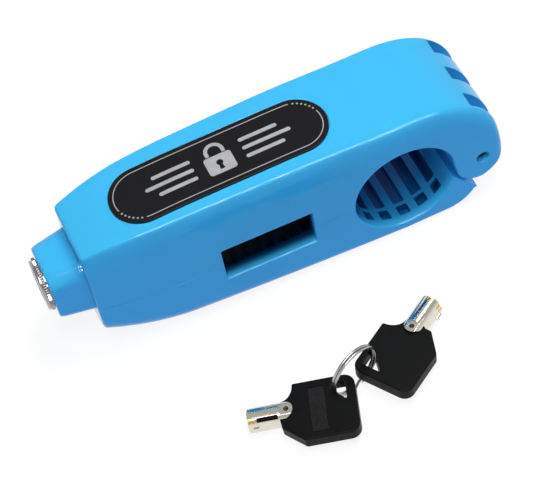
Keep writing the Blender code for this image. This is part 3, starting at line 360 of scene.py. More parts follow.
NICKEL = Finish("warm_nickel", (0.74, 0.70, 0.61), 0.12, 1.0, cloud=250.0)


def clear_selection() -> None:
    """Leave edit mode and deselect everything."""
    if bpy.context.mode != "OBJECT":
        bpy.ops.object.mode_set(mode="OBJECT")
    bpy.ops.object.select_all(action="DESELECT")


def focus(piece: Piece) -> None:
    """Make one piece the only selected and active one."""
    clear_selection()
    piece.select_set(True)
    bpy.context.view_layer.objects.active = piece


def edit_all(piece: Piece) -> None:
    """Enter edit mode on a piece with all of it selected."""
    focus(piece)
    bpy.ops.object.mode_set(mode="EDIT")
    bpy.ops.mesh.select_all(action="SELECT")


def close_mesh(piece: Piece) -> None:
    """Merge doubles, drop loose edges and turn the faces out."""
    edit_all(piece)
    bpy.ops.mesh.remove_doubles(threshold=1e-6)
    bpy.ops.mesh.delete_loose(use_verts=True, use_edges=True, use_faces=False)
    bpy.ops.mesh.select_all(action="SELECT")
    bpy.ops.mesh.normals_make_consistent(inside=False)
    bpy.ops.object.mode_set(mode="OBJECT")


def skin(name: str, rings: Sequence[Sequence[Point3]], looped: bool = False) -> Piece:
    """Wrap a grid round a row of point rings and close its ends.

    Args:
        name: Name of the piece.
        rings: Rings with the same number of points each.
        looped: Whether the last ring joins the first.

    Returns:
        The closed piece.
    """
    rows = len(rings) + (1 if looped else 0)
    count = len(rings[0])
    clear_selection()
    bpy.ops.mesh.primitive_grid_add(x_subdivisions=count, y_subdivisions=rows - 1, size=1.0)
    piece = bpy.context.object
    piece.name = name
    places: list[float] = []
    for row in range(rows):
        ring = rings[row % len(rings)]
        for column in range(count + 1):
            places.extend(ring[column % count])
    piece.data.vertices.foreach_set("co", places)
    piece.data.update()
    edit_all(piece)
    bpy.ops.mesh.remove_doubles(threshold=1e-7)
    if not looped:
        bpy.ops.mesh.fill_holes(sides=0)
    close_mesh(piece)
    return piece


def prism(name: str, axis: Axis, outline: Sequence[Point2], low: float, high: float) -> Piece:
    """Shape a filled circle into an outline and extrude it.

    Args:
        name: Name of the piece.
        axis: Direction of the extrusion.
        outline: Points across the axis.
        low: Start along the axis.
        high: End along the axis.

    Returns:
        The extruded piece.
    """
    clear_selection()
    bpy.ops.mesh.primitive_circle_add(vertices=len(outline), fill_type="NGON")
    piece = bpy.context.object
    piece.name = name
    for vertex, point in zip(piece.data.vertices, outline):
        vertex.co = axis.place(low, *point)
    edit_all(piece)
    bpy.ops.mesh.extrude_region_move(TRANSFORM_OT_translate={"value": axis.place(high - low, 0.0, 0.0)})
    close_mesh(piece)
    return piece


def block(name: str, low: Point3, high: Point3) -> Piece:
    """A block between two corners, extruded from its lower face."""
    outline = ((low[0], low[1]), (high[0], low[1]), (high[0], high[1]), (low[0], high[1]))
    return prism(name, Axis.Z, outline, low[2], high[2])


def turned(name: str, axis: Axis, centre: Point2, profile: Sequence[Point2], steps: int) -> Piece:
    """Spin a closed profile round an axis.

    Args:
        name: Name of the piece.
        axis: Axis of the spin.
        centre: Place of the axis across it.
        profile: Pairs of distance along the axis and radius.
        steps: Number of steps round the axis.

    Returns:
        The turned piece.
    """
    clear_selection()
    bpy.ops.mesh.primitive_circle_add(vertices=len(profile), fill_type="NOTHING")
    piece = bpy.context.object
    piece.name = name
    for vertex, (along, radius) in zip(piece.data.vertices, profile):
        vertex.co = axis.place(along, centre[0] + radius, centre[1])
    edit_all(piece)
    bpy.ops.mesh.spin(steps=steps, angle=2.0 * math.pi, center=axis.place(0.0, *centre), axis=axis.value)
    close_mesh(piece)
    return piece


def rod(name: str, axis: Axis, centre: Point2, radius: float, low: float, high: float,
        steps: int = 32) -> Piece:
    """A plain turned rod, used as a tool."""
    profile = ((low, 0.0), (low, radius), (high, radius), (high, 0.0))
    return turned(name, axis, centre, profile, steps)


def gather(name: str, pieces: Sequence[Piece]) -> Piece:
    """Join separate pieces into one.

    Args:
        name: Name of the joined piece.
        pieces: Pieces that don't touch.

    Returns:
        The joined piece.
    """
    focus(pieces[0])
    for piece in pieces[1:]:
        piece.select_set(True)
    bpy.ops.object.join()
    joined = bpy.context.object
    joined.name = name
    return joined


def carve(piece: Piece, tool: Piece, join: Join = Join.CUT) -> Piece:
    """Work a tool into a piece and use the tool up.

    Args:
        piece: Piece that is changed.
        tool: Closed tool.
        join: How the two meet.

    Returns:
        The changed piece.
    """
    modifier = piece.modifiers.new(tool.name, "BOOLEAN")
    modifier.operation = join.value
    modifier.solver = "EXACT"
    modifier.object = tool
    focus(piece)
    bpy.ops.object.modifier_apply(modifier=modifier.name)
    bpy.data.objects.remove(tool, do_unlink=True)
    return piece


def soften(piece: Piece, width: float, segments: int = 3, angle: float = 50.0) -> Piece:
    """Round the sharp edges of a piece.

    Args:
        piece: Piece that is changed.
        width: Width of the rounding.
        segments: Number of faces across it.
        angle: Least angle in degrees that counts as sharp.

    Returns:
        The changed piece.
    """
    modifier = piece.modifiers.new("rounding", "BEVEL")
    modifier.width = width
    modifier.segments = segments
    modifier.limit_method = "ANGLE"
    modifier.angle_limit = math.radians(angle)
    modifier.use_clamp_overlap = True
    focus(piece)
    bpy.ops.object.modifier_apply(modifier=modifier.name)
    return piece


def set_in(piece: Piece, look: Look, body: str,
           nodes: Iterable[str] = (), sharp: float = 32.0) -> Piece:
    """Smooth a finished piece, dress it and hang it on its body.

    Args:
        piece: Finished mesh in its place.
        look: Its material.
        body: Body that carries it.
        nodes: Solids that it stands for.
        sharp: Least angle in degrees that stays an edge.

    Returns:
        The dressed piece.
    """
    focus(piece)
    bpy.ops.object.shade_smooth_by_angle(angle=math.radians(sharp))
    modifier = piece.modifiers.new("even_normals", "WEIGHTED_NORMAL")
    modifier.keep_sharp = True
    bpy.ops.object.modifier_apply(modifier=modifier.name)
    piece.data.materials.clear()
    piece.data.materials.append(look)
    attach(piece, body)
    names = tuple(nodes)
    if names:
        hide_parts(*names)
    LOG.info("%s: %d faces on %s", piece.name, len(piece.data.polygons), body)
    return piece


def arc(a: float, b: float, radius: float, start: float, end: float, steps: int) -> list[Point2]:
    """Points of an arc.

    Args:
        a: First coordinate of its centre.
        b: Second coordinate of its centre.
        radius: Its radius.
        start: Start angle in degrees.
        end: End angle in degrees.
        steps: Number of steps.

    Returns:
        The points from start to end.
    """
    points = []
    for step in range(steps + 1):
        angle = math.radians(start + (end - start) * step / steps)
        points.append((a + radius * math.cos(angle), b + radius * math.sin(angle)))
    return points


def section(width: float, low: float, high: float, low_radius: float, high_radius: float,
            steps: int = 9, crown: float = 0.0) -> list[Point2]:
    """Points (y, z) of a rounded rectangle about y = 0.

    Args:
        width: Half its width.
        low: Its lower edge.
        high: Its upper edge.
        low_radius: Radius of the lower corners.
        high_radius: Reach of the upper corners across the top.
        steps: Number of faces in each corner.
        crown: Reach of the upper corners down the sides, the same as across the top where it is 0.

    Returns:
        The points, counter-clockwise.
    """
    total = high - low
    high_radius = min(high_radius, 0.48 * total, 0.96 * width)
    crown = min(crown, 0.9 * total) if crown else high_radius
    low_radius = min(low_radius, 0.96 * total - crown, 0.96 * width)
    points = arc(width - low_radius, low + low_radius, low_radius, -90.0, 0.0, steps)
    upper = []
    for step in range(steps + 1):
        lean = 0.5 * math.pi * step / steps
        turn = math.atan2(crown * math.sin(lean), high_radius * math.cos(lean))
        upper.append((width - high_radius + high_radius * math.cos(turn), high - crown + crown * math.sin(turn)))
    points += upper + [(-y, z) for y, z in reversed(upper)]
    points += arc(low_radius - width, low + low_radius, low_radius, 180.0, 270.0, steps)
    return points


def stadium(length: float, width: float, x: float, steps: int = 32) -> list[Point2]:
    """Points (x, y) of an outline with round ends."""
    radius = width / 2
    straight = length / 2 - radius
    return arc(x + straight, 0.0, radius, -90.0, 90.0, steps) + arc(x - straight, 0.0, radius, 90.0, 270.0, steps)


def spread(low: float, high: float, count: int) -> list[float]:
    """Evenly spaced values from low to high."""
    return [low + (high - low) * step / count for step in range(count + 1)]


def ease(share: float) -> float:
    """A smooth step from 0 to 1 as the share goes from 0 to 1."""
    held = min(1.0, max(0.0, share))
    return held * held * (3.0 - 2.0 * held)


@dataclass(frozen=True)
class ShellForm:
    """Outside and inside form that the two shells share."""

    slot_half: float = 19.0 * MM
    slot_rise: float = 9.1 * MM
    slot_lip: float = 0.9 * MM
    bore_x: float = 58.0 * MM
    bore_z: float = 27.2 * MM
    bore_radius: float = 21.3 * MM
    bore_lip: float = 1.2 * MM
    parting: float = 28.0 * MM
    seam: float = 0.05 * MM
    seam_edge: float = 0.12 * MM
    roof: float = 62.8 * MM
    arch_rise: float = 1.4 * MM
    arch_x: float = -3.0 * MM
    arch_flat: float = 18.0 * MM
    arch_reach: float = 62.0 * MM
    wall: float = 3.0 * MM
    nose: float = -70.0 * MM
    nose_edge: float = 1.3 * MM
    nose_taper: float = 3.0 * MM
    nose_taper_length: float = 38.0 * MM
    nose_drop: float = 4.2 * MM
    nose_drop_length: float = 28.0 * MM
    nose_lift: float = 6.0 * MM
    nose_lift_length: float = 38.0 * MM
    widest: float = 22.9 * MM
    waist: float = 3.2 * MM
    top_fillet: float = 3.0 * MM
    end_crown: float = 10.0 * MM
    nose_crown: float = 19.0 * MM
    end_fillet: float = 4.4 * MM
    heel_fillet: float = 3.5 * MM
    nose_fillet: float = 14.0 * MM
    pin_x: float = 91.5 * MM
    pin_z: float = 25.5 * MM
    pin_hole: float = 2.7 * MM
    lobe_x: float = 90.6 * MM
    lobe_z: float = 24.0 * MM
    lobe_radius: float = 10.6 * MM
    lobe_edge: float = 1.4 * MM
    end_edge: float = 4.4 * MM
    end_curve: float = 41.2 * MM
    end_power: float = 2.5
    tip_power: float = 1.45
    seat_clear: float = 11.5 * MM
    seat_slope: float = math.radians(49.4)
    heel_height: float = 9.5 * MM
    heel_length: float = 12.8 * MM
    notch_radius: float = 8.4 * MM
    knuckle_radius: float = 8.0 * MM
    knuckle_width: float = 6.4 * MM
    knuckle_pitch: float = 15.3 * MM
    notch_roof: float = 54.8 * MM
    lock_z: float = 35.5 * MM

    @property
    def end(self) -> float:
        """X of the hinge lobe's tip."""
        return self.lobe_x + self.lobe_radius

    @property
    def heel(self) -> float:
        """X of the base's heel."""
        return self.seat_x(self.heel_height)

    def sweep(self, x: float) -> float:
        """How far x lies from the bore towards the nose, 0 to 1."""
        return min(1.0, max(0.0, (self.bore_x - x) / (self.bore_x - self.nose)))

    def half_width(self, x: float) -> float:
        """Half the width of the closed lock at x."""
        width = self.widest - self.waist * self.sweep(x) ** 2
        into_nose = max(0.0, self.nose + self.nose_taper_length - x) / self.nose_taper_length
        width -= self.nose_taper * into_nose ** 2
        into_end = min(1.0, max(0.0, x - (self.end - self.end_edge)) / self.end_edge)
        return width - self.end_edge * (1.0 - math.sqrt(1.0 - into_end ** 2))

    def roof_z(self, x: float, inset: float = 0.0) -> float:
        """Height of the cover's top at x, drawn in by an inset."""
        into_nose = max(0.0, self.nose + self.nose_drop_length - x) / self.nose_drop_length
        into_curve = min(1.0, max(0.0, x - (self.end - self.end_curve)) / (self.end_curve - inset))
        share = (1.0 - into_curve ** self.end_power) ** (1.0 / self.end_power)
        rise = (self.roof - self.lobe_z - inset) * share
        return self.lobe_z + rise - self.nose_drop * into_nose ** 2 + self.arch(x)

    def arch(self, x: float) -> float:
        """How far the roof rises at x over the height of its two ends."""
        share = (self.arch_reach - abs(x - self.arch_x)) / (self.arch_reach - self.arch_flat)
        return self.arch_rise * ease(share)

    def top_radius(self, x: float) -> float:
        """Reach of the cover's upper edges at x, larger towards the hinge end."""
        return self.top_fillet + (self.end_fillet - self.top_fillet) * ease((x - 0.070) / (self.end - 0.070))

    def crown(self, x: float) -> float:
        """How far the upper edges' rounding reaches down the sides at x."""
        return self.end_crown + (self.nose_crown - self.end_crown) * self.sweep(x)

    def cover_low(self, x: float) -> float:
        """Height of the cover's lower edge at x: the seam, then the round hinge lobe."""
        along = x - self.lobe_x
        if abs(along) >= self.lobe_radius:
            return self.parting + self.seam
        power = self.tip_power if along > 0.0 else 2.0
        return self.lobe_z - self.lobe_radius * (1.0 - (abs(along) / self.lobe_radius) ** power) ** (1.0 / power)

    def seat_z(self, x: float) -> float:
        """Height at x of the base's slanted end face."""
        reach = self.seat_clear + (x - self.lobe_x) * math.sin(self.seat_slope)
        return self.lobe_z - reach / math.cos(self.seat_slope)

    def seat_x(self, z: float) -> float:
        """Where the base's slanted end face reaches height z."""
        reach = self.seat_clear + (z - self.lobe_z) * math.cos(self.seat_slope)
        return self.lobe_x - reach / math.sin(self.seat_slope)

    def underside(self, x: float) -> float:
        """Height of the base's underside at x."""
        into_nose = max(0.0, self.nose + self.nose_lift_length - x) / self.nose_lift_length
        into_heel = min(self.heel_length, max(0.0, x - (self.heel - self.heel_length)))
        rise = self.heel_height - 1.8 * MM
        radius = (self.heel_length ** 2 + rise ** 2) / (2 * rise)
        return self.nose_lift * into_nose ** 2 + radius - math.sqrt(radius ** 2 - into_heel ** 2)

    def low_radius(self, x: float) -> float:
        """Edge radius of the underside at x."""
        return self.heel_fillet + (self.nose_fillet - self.heel_fillet) * self.sweep(x)

    def nose_inset(self, x: float) -> float:
        """How far the sections draw in to round the edge of the flat nose."""
        into_edge = min(1.0, max(0.0, self.nose + self.nose_edge - x) / self.nose_edge)
        return self.nose_edge * (1.0 - math.sqrt(1.0 - into_edge ** 2))

    def stations(self, end: float, start: float | None = None) -> list[float]:
        """X places of the sections, closer together where the outline turns.

        Args:
            end: Last place.
            start: First place, the nose where it isn't given.

        Returns:
            The places in order.
        """
        first = self.nose if start is None else start
        found = [first]
        for degrees in range(10, 91, 10):
            found.append(self.nose + self.nose_edge * (1.0 - math.cos(math.radians(degrees))))
        found += spread(self.nose + 2.0 * self.nose_edge, self.nose + self.nose_taper_length, 26)
        found += spread(self.nose + self.nose_taper_length, self.end - self.end_curve, 34)
        for degrees in range(0, 90, 3):
            found.append(self.end - self.end_curve * (1.0 - math.sin(math.radians(degrees))))
        for degrees in range(0, 181, 6):
            found.append(self.lobe_x - self.lobe_radius * math.cos(math.radians(degrees)))
        for degrees in range(0, 90, 10):
            found.append(self.end - self.end_edge * (1.0 - math.sin(math.radians(degrees))))
        found += spread(self.heel - self.heel_length, self.heel, 12)
        tidy: list[float] = []
        for x in sorted(found):
            if first <= x < end - 0.02 * MM and (not tidy or x - tidy[-1] > 0.06 * MM):
                tidy.append(x)
        return tidy + [end]

    def across(self) -> tuple[float, float]:
        """A Y range that passes both sides."""
        return (-self.widest - PAST, self.widest + PAST)


def follow_roof(piece: Piece, form: ShellForm, shift: float) -> Piece:
    """Cut a flat piece into strips and lay it along the arched roof.

    Args:
        piece: Piece that was modelled over a flat roof.
        form: Form that gives the arch.
        shift: Distance that the piece moves across the lock.

    Returns:
        The bent piece.
    """
    edit_all(piece)
    for x in spread(form.nose, form.bore_x, 32):
        bpy.ops.mesh.select_all(action="SELECT")
        bpy.ops.mesh.bisect(plane_co=(x, 0.0, 0.0), plane_no=(1.0, 0.0, 0.0))
    bpy.ops.object.mode_set(mode="OBJECT")
    for vertex in piece.data.vertices:
        vertex.co.y += shift
        vertex.co.z += form.arch(vertex.co.x)
    return piece


@dataclass
class Shells:
    """The two blue shells: outside, lips, ribs, pocketed bore, hinge and latch bosses."""

    form: ShellForm
    blue: Look
    lining: float = 2.4 * MM
    lip_depth: float = 6.0 * MM
    lip_width: float = 2.5 * MM
    rib_width: float = 1.2 * MM
    rib_count: int = 7
    rib_sunk: float = 4.5 * MM
    web_x: float = 28.5 * MM
    pocket_width: float = 4.8 * MM
    pocket_depth: float = 3.9 * MM
    pocket_pitch: float = math.radians(22.0)
    boss_radius: float = 4.0 * MM
    boss_spacing: float = 12.0 * MM
    catch_x: float = -27.0 * MM
    catch_seat: float = 54.8 * MM
    guide_x: float = -31.3 * MM
    guide_seat: float = 8.0 * MM
    badge_x: float = -7.0 * MM
    badge_length: float = 90.0 * MM
    badge_width: float = 26.8 * MM
    badge_shift: float = -1.2 * MM
    badge_depth: float = 0.8 * MM

    def build(self) -> None:
        """Model and dress both shells."""
        set_in(self.cover(), self.blue, "cover", ["cover_shell"])
        set_in(self.base(), self.blue, "base", ["base_shell"])

    def cover(self) -> Piece:
        """The upper shell.

        Returns:
            The finished mesh.
        """
        form = self.form
        rings = []
        for x in form.stations(form.end - 0.02 * MM):
            inset = form.nose_inset(x)
            edge = form.lobe_edge if abs(x - form.lobe_x) < form.lobe_radius else form.seam_edge
            outline = section(form.half_width(x) - inset, form.cover_low(x), form.roof_z(x) - inset, edge,
                              form.top_radius(x), 12, form.crown(x))
            rings.append([Axis.X.place(x, *point) for point in outline])
        shell = skin("upper_shell", rings)
        carve(shell, self.badge_recess())
        carve(shell, self.cover_hollow())
        self.cut_through(shell)
        carve(shell, self.pockets(1.0))
        carve(shell, self.notches())
        carve(shell, self.wells("catch_wells", self.catch_x, self.catch_seat - PAST, self.catch_seat + 4.8 * MM))
        return shell

    def base(self) -> Piece:
        """The lower shell.

        Returns:
            The finished mesh.
        """
        form = self.form
        rings = []
        for x in form.stations(form.heel):
            inset = form.nose_inset(x)
            high = min(form.parting - form.seam, form.seat_z(x) + 0.04 * MM)
            outline = section(form.half_width(x) - inset, form.underside(x) + inset, high, form.low_radius(x),
                              form.seam_edge if x < 0.077 else 0.4 * MM)
            rings.append([Axis.X.place(x, *point) for point in outline])
        shell = skin("lower_shell", rings)
        carve(shell, self.base_hollow())
        carve(shell, self.knuckles(), Join.FUSE)
        self.cut_through(shell)
        carve(shell, self.pockets(-1.0))
        carve(shell, self.wells("guide_wells", self.guide_x, self.guide_seat - 4.8 * MM, self.guide_seat + PAST))
        return shell

    def badge_recess(self) -> Piece:
        """The tool for the badge's seat, with a softened rim."""
        rim = 0.3 * MM
        rings = []
        levels = [(self.form.roof - self.badge_depth, 0.0), (self.form.roof - rim, 0.0)]
        for degrees in (30, 60, 90):
            turn = math.radians(degrees)
            levels.append((self.form.roof - rim + rim * math.sin(turn), rim * (1.0 - math.cos(turn))))
        levels.append((self.form.roof + PAST, rim))
        for z, grow in levels:
            outline = stadium(self.badge_length + 2 * grow, self.badge_width + 2 * grow, self.badge_x)
            rings.append([Axis.Z.place(z, *point) for point in outline])
        return follow_roof(skin("badge_recess", rings), self.form, self.badge_shift)

    def cover_hollow(self) -> Piece:
        """The space inside the upper shell, with its ribs and bosses left standing."""
        form = self.form
        rings = []
        for x in form.stations(form.pin_x - form.notch_radius - form.wall, form.nose + form.wall)[::3]:
            outline = section(form.half_width(x) - form.wall, form.parting - PAST, form.roof_z(x, form.wall),
                              0.4 * MM, form.top_fillet / 2, 4)
            rings.append([Axis.X.place(x, *point) for point in outline])
        hollow = skin("cover_hollow", rings)
        slot_top = form.parting + form.slot_rise
        self.keep_common(hollow, "cover", form.parting - 4.0 * MM, slot_top + self.lip_width)
        carve(hollow, self.ribs("cover_ribs", slot_top + self.rib_sunk, form.roof, form.parting - 4.0 * MM, form.roof))
        carve(hollow, self.bosses("cover_bosses", self.catch_x, self.catch_seat, form.roof))
        return hollow

    def base_hollow(self) -> Piece:
        """The space inside the lower shell, with its ribs and bosses left standing."""
        form = self.form
        rings = []
        for x in form.stations(form.seat_x(form.wall * 3), form.nose + form.wall)[::3]:
            low = form.underside(x) + form.wall
            high = min(form.parting + PAST, form.seat_z(x + form.wall))
            if high - low < form.wall:
                break
            outline = section(form.half_width(x) - form.wall, low, high, form.low_radius(x) - form.wall / 2,
                              0.4 * MM, 4)
            rings.append([Axis.X.place(x, *point) for point in outline])
        hollow = skin("base_hollow", rings)
        slot_floor = form.parting - form.slot_rise
        self.keep_common(hollow, "base", slot_floor - self.lip_width, form.parting + 4.0 * MM)
        carve(hollow, self.ribs("base_ribs", 0.0, slot_floor - self.rib_sunk, 0.0, form.parting + 4.0 * MM))
        carve(hollow, self.bosses("base_bosses", self.guide_x, 0.0, self.guide_seat))
        return hollow

    def keep_common(self, hollow: Piece, name: str, low: float, high: float) -> None:
        """Leave the bore's lining and the slot's lips standing in a hollow.

        Args:
            hollow: Space that is changed.
            name: Start of the tools' names.
            low: Lower end of the lips.
            high: Upper end of the lips.
        """
        form = self.form
        carve(hollow, rod(name + "_lining", Axis.Y, (form.bore_x, form.bore_z), form.bore_radius + self.lining,
                          *form.across(), 96))
        reach = form.slot_half + self.lip_width
        deep = form.half_width(0.0) - self.lip_depth
        far = form.across()[1]
        front = block(name + "_front_lip", (-reach, -far, low), (reach, -deep, high))
        back = block(name + "_back_lip", (-reach, deep, low), (reach, far, high))
        carve(hollow, gather(name + "_lips", [front, back]))

    def ribs(self, name: str, low: float, high: float, web_low: float, web_high: float) -> Piece:
        """The ribs across the slot and the web beside the bore.

        Args:
            name: Name of the tool.
            low: Lower end of the ribs.
            high: Upper end of the ribs.
            web_low: Lower end of the web.
            web_high: Upper end of the web.

        Returns:
            The joined plates.
        """
        far = self.form.across()[1]
        pitch = 2.0 * self.form.slot_half / self.rib_count
        plates = []
        for index in range(self.rib_count):
            x = (index - (self.rib_count - 1) / 2) * pitch
            plates.append(block(f"{name}_{index}", (x - self.rib_width / 2, -far, low),
                                (x + self.rib_width / 2, far, high)))
        plates.append(block(name + "_web", (self.web_x, -far, web_low), (self.web_x + self.rib_width, far, web_high)))
        return gather(name, plates)

    def bosses(self, name: str, x: float, low: float, high: float) -> Piece:
        """A pair of screw bosses."""
        sides = [rod(f"{name}_{side}", Axis.Z, (x, side * self.boss_spacing / 2), self.boss_radius, low, high)
                 for side in (-1, 1)]
        return gather(name, sides)

    def wells(self, name: str, x: float, low: float, high: float) -> Piece:
        """A pair of pilot holes."""
        sides = [rod(f"{name}_{side}", Axis.Z, (x, side * self.boss_spacing / 2), 1.55 * MM, low, high, 20)
                 for side in (-1, 1)]
        return gather(name, sides)

    def cut_through(self, shell: Piece) -> None:
        """Cut the grip bore, the lever slot, the collar's mouth and the pin's hole.

        Args:
            shell: Shell that is changed.
        """
        form = self.form
        carve(shell, self.lipped_bore("grip_bore", (form.bore_x, form.bore_z), form.bore_radius, form.bore_lip, 128))
        carve(shell, self.lever_slot())
        mouth = section(13.7 * MM, form.lock_z - 15.4 * MM, form.lock_z + 15.4 * MM, 7.4 * MM, 7.4 * MM)
        carve(shell, prism("collar_mouth", Axis.X, mouth, form.nose - PAST, form.nose + form.wall + PAST))
        carve(shell, self.lipped_bore("pin_hole", (form.pin_x, form.pin_z), form.pin_hole, 0.35 * MM, 40))

    def lipped_bore(self, name: str, centre: Point2, radius: float, lip: float, steps: int) -> Piece:
        """A tool for a hole across the lock whose rims are rounded.

        Args:
            name: Name of the tool.
            centre: Its axis (x, z).
            radius: Its radius.
            lip: Radius of the rims.
            steps: Number of steps round it.

        Returns:
            The turned tool.
        """
        side = self.form.widest
        flare = []
        for degrees in range(0, 91, 15):
            turn = math.radians(degrees)
            flare.append((side - lip + lip * math.sin(turn), radius + lip * (1.0 - math.cos(turn))))
        far = side + PAST
        right = flare + [(far, radius + lip), (far, 0.0)]
        left = [(-along, wide) for along, wide in reversed(right)]
        return turned(name, Axis.Y, centre, left + right, steps)

    def lever_slot(self) -> Piece:
        """The tool for the lever slot, whose rims follow the sides and are rounded."""
        form = self.form
        lip = form.slot_lip
        levels: list[tuple[float, float, float]] = []
        for side in (-1.0, 1.0):
            rims = [(side, lip * (math.sin(math.radians(d)) - 1.0), lip * (1.0 - math.cos(math.radians(d))))
                    for d in range(0, 91, 15)]
            rims.append((side, 2.0 * MM, lip))
            levels += rims if side > 0 else rims[::-1]
        rings = []
        for side, out, grow in levels:
            outline = section(form.slot_half + grow, form.parting - form.slot_rise - grow,
                              form.parting + form.slot_rise + grow, 0.7 * MM + grow, 0.7 * MM + grow, 4)
            rings.append([(x, side * (form.half_width(x) + out), z) for x, z in outline])
        return skin("lever_slot", rings)

    def pockets(self, up: float) -> Piece:
        """The grid of pockets in half of the bore's lining.

        Args:
            up: 1 for the upper half, -1 for the lower.

        Returns:
            The joined tool.
        """
        form = self.form
        edge = form.half_width(form.bore_x) - 4.0 * MM
        inner = edge - 4.7 * MM
        middle_half = inner - 1.5 * MM
        rows = ((-edge, -inner), (-middle_half, middle_half), (inner, edge))
        made = []
        for column in range(-3, 3):
            tilt = column * self.pocket_pitch
            out = Vector((math.sin(tilt), math.cos(tilt) * up))
            side = Vector((out.y, -out.x)) * (self.pocket_width / 2)
            middle = Vector((form.bore_x, form.bore_z))
            inside = middle + out * (form.bore_radius - 1.0 * MM)
            outside = middle + out * (form.bore_radius + self.pocket_depth)
            outline = [tuple(p) for p in (inside - side, inside + side, outside + side, outside - side)]
            for row, (low, high) in enumerate(rows):
                made.append(prism(f"pocket_{column}_{row}", Axis.Y, outline, low, high))
        return soften(gather("pockets", made), 0.5 * MM, 2)

    def knuckle_places(self) -> tuple[float, float, float]:
        """Y of the middle of each hinge knuckle."""
        return (-self.form.knuckle_pitch, 0.0, self.form.knuckle_pitch)

    def notches(self) -> Piece:
        """The slots in the upper shell where the knuckles turn."""
        form = self.form
        half = form.knuckle_width / 2 + 0.3 * MM
        left = form.pin_x - form.notch_radius
        far = form.end + PAST
        low = form.lobe_z - form.lobe_radius - PAST
        outline = [(left, form.notch_roof)] + arc(form.pin_x, form.pin_z, form.notch_radius, 180.0, 208.0, 6)
        outline += [(left - 4.0 * MM, low), (far, low), (far, form.notch_roof)]
        made = [prism(f"notch_{index}", Axis.Y, outline, y - half, y + half)
                for index, y in enumerate(self.knuckle_places())]
        return gather("notches", made)

    def knuckles(self) -> Piece:
        """The lower shell's three hinge knuckles with their arms."""
        form = self.form
        foot = form.heel
        low = form.lobe_z - form.lobe_radius
        outline = arc(form.pin_x, form.pin_z, form.knuckle_radius, -55.0, 214.0, 40)
        outline += [(form.seat_x(low) - form.wall, low), (foot - 2 * form.wall, form.heel_height),
                    (foot - 0.4 * MM, form.heel_height + form.wall / 2)]
        half = form.knuckle_width / 2
        made = [prism(f"knuckle_{index}", Axis.Y, outline, y - half, y + half)
                for index, y in enumerate(self.knuckle_places())]
        return soften(gather("knuckles", made), 0.4 * MM, 2)


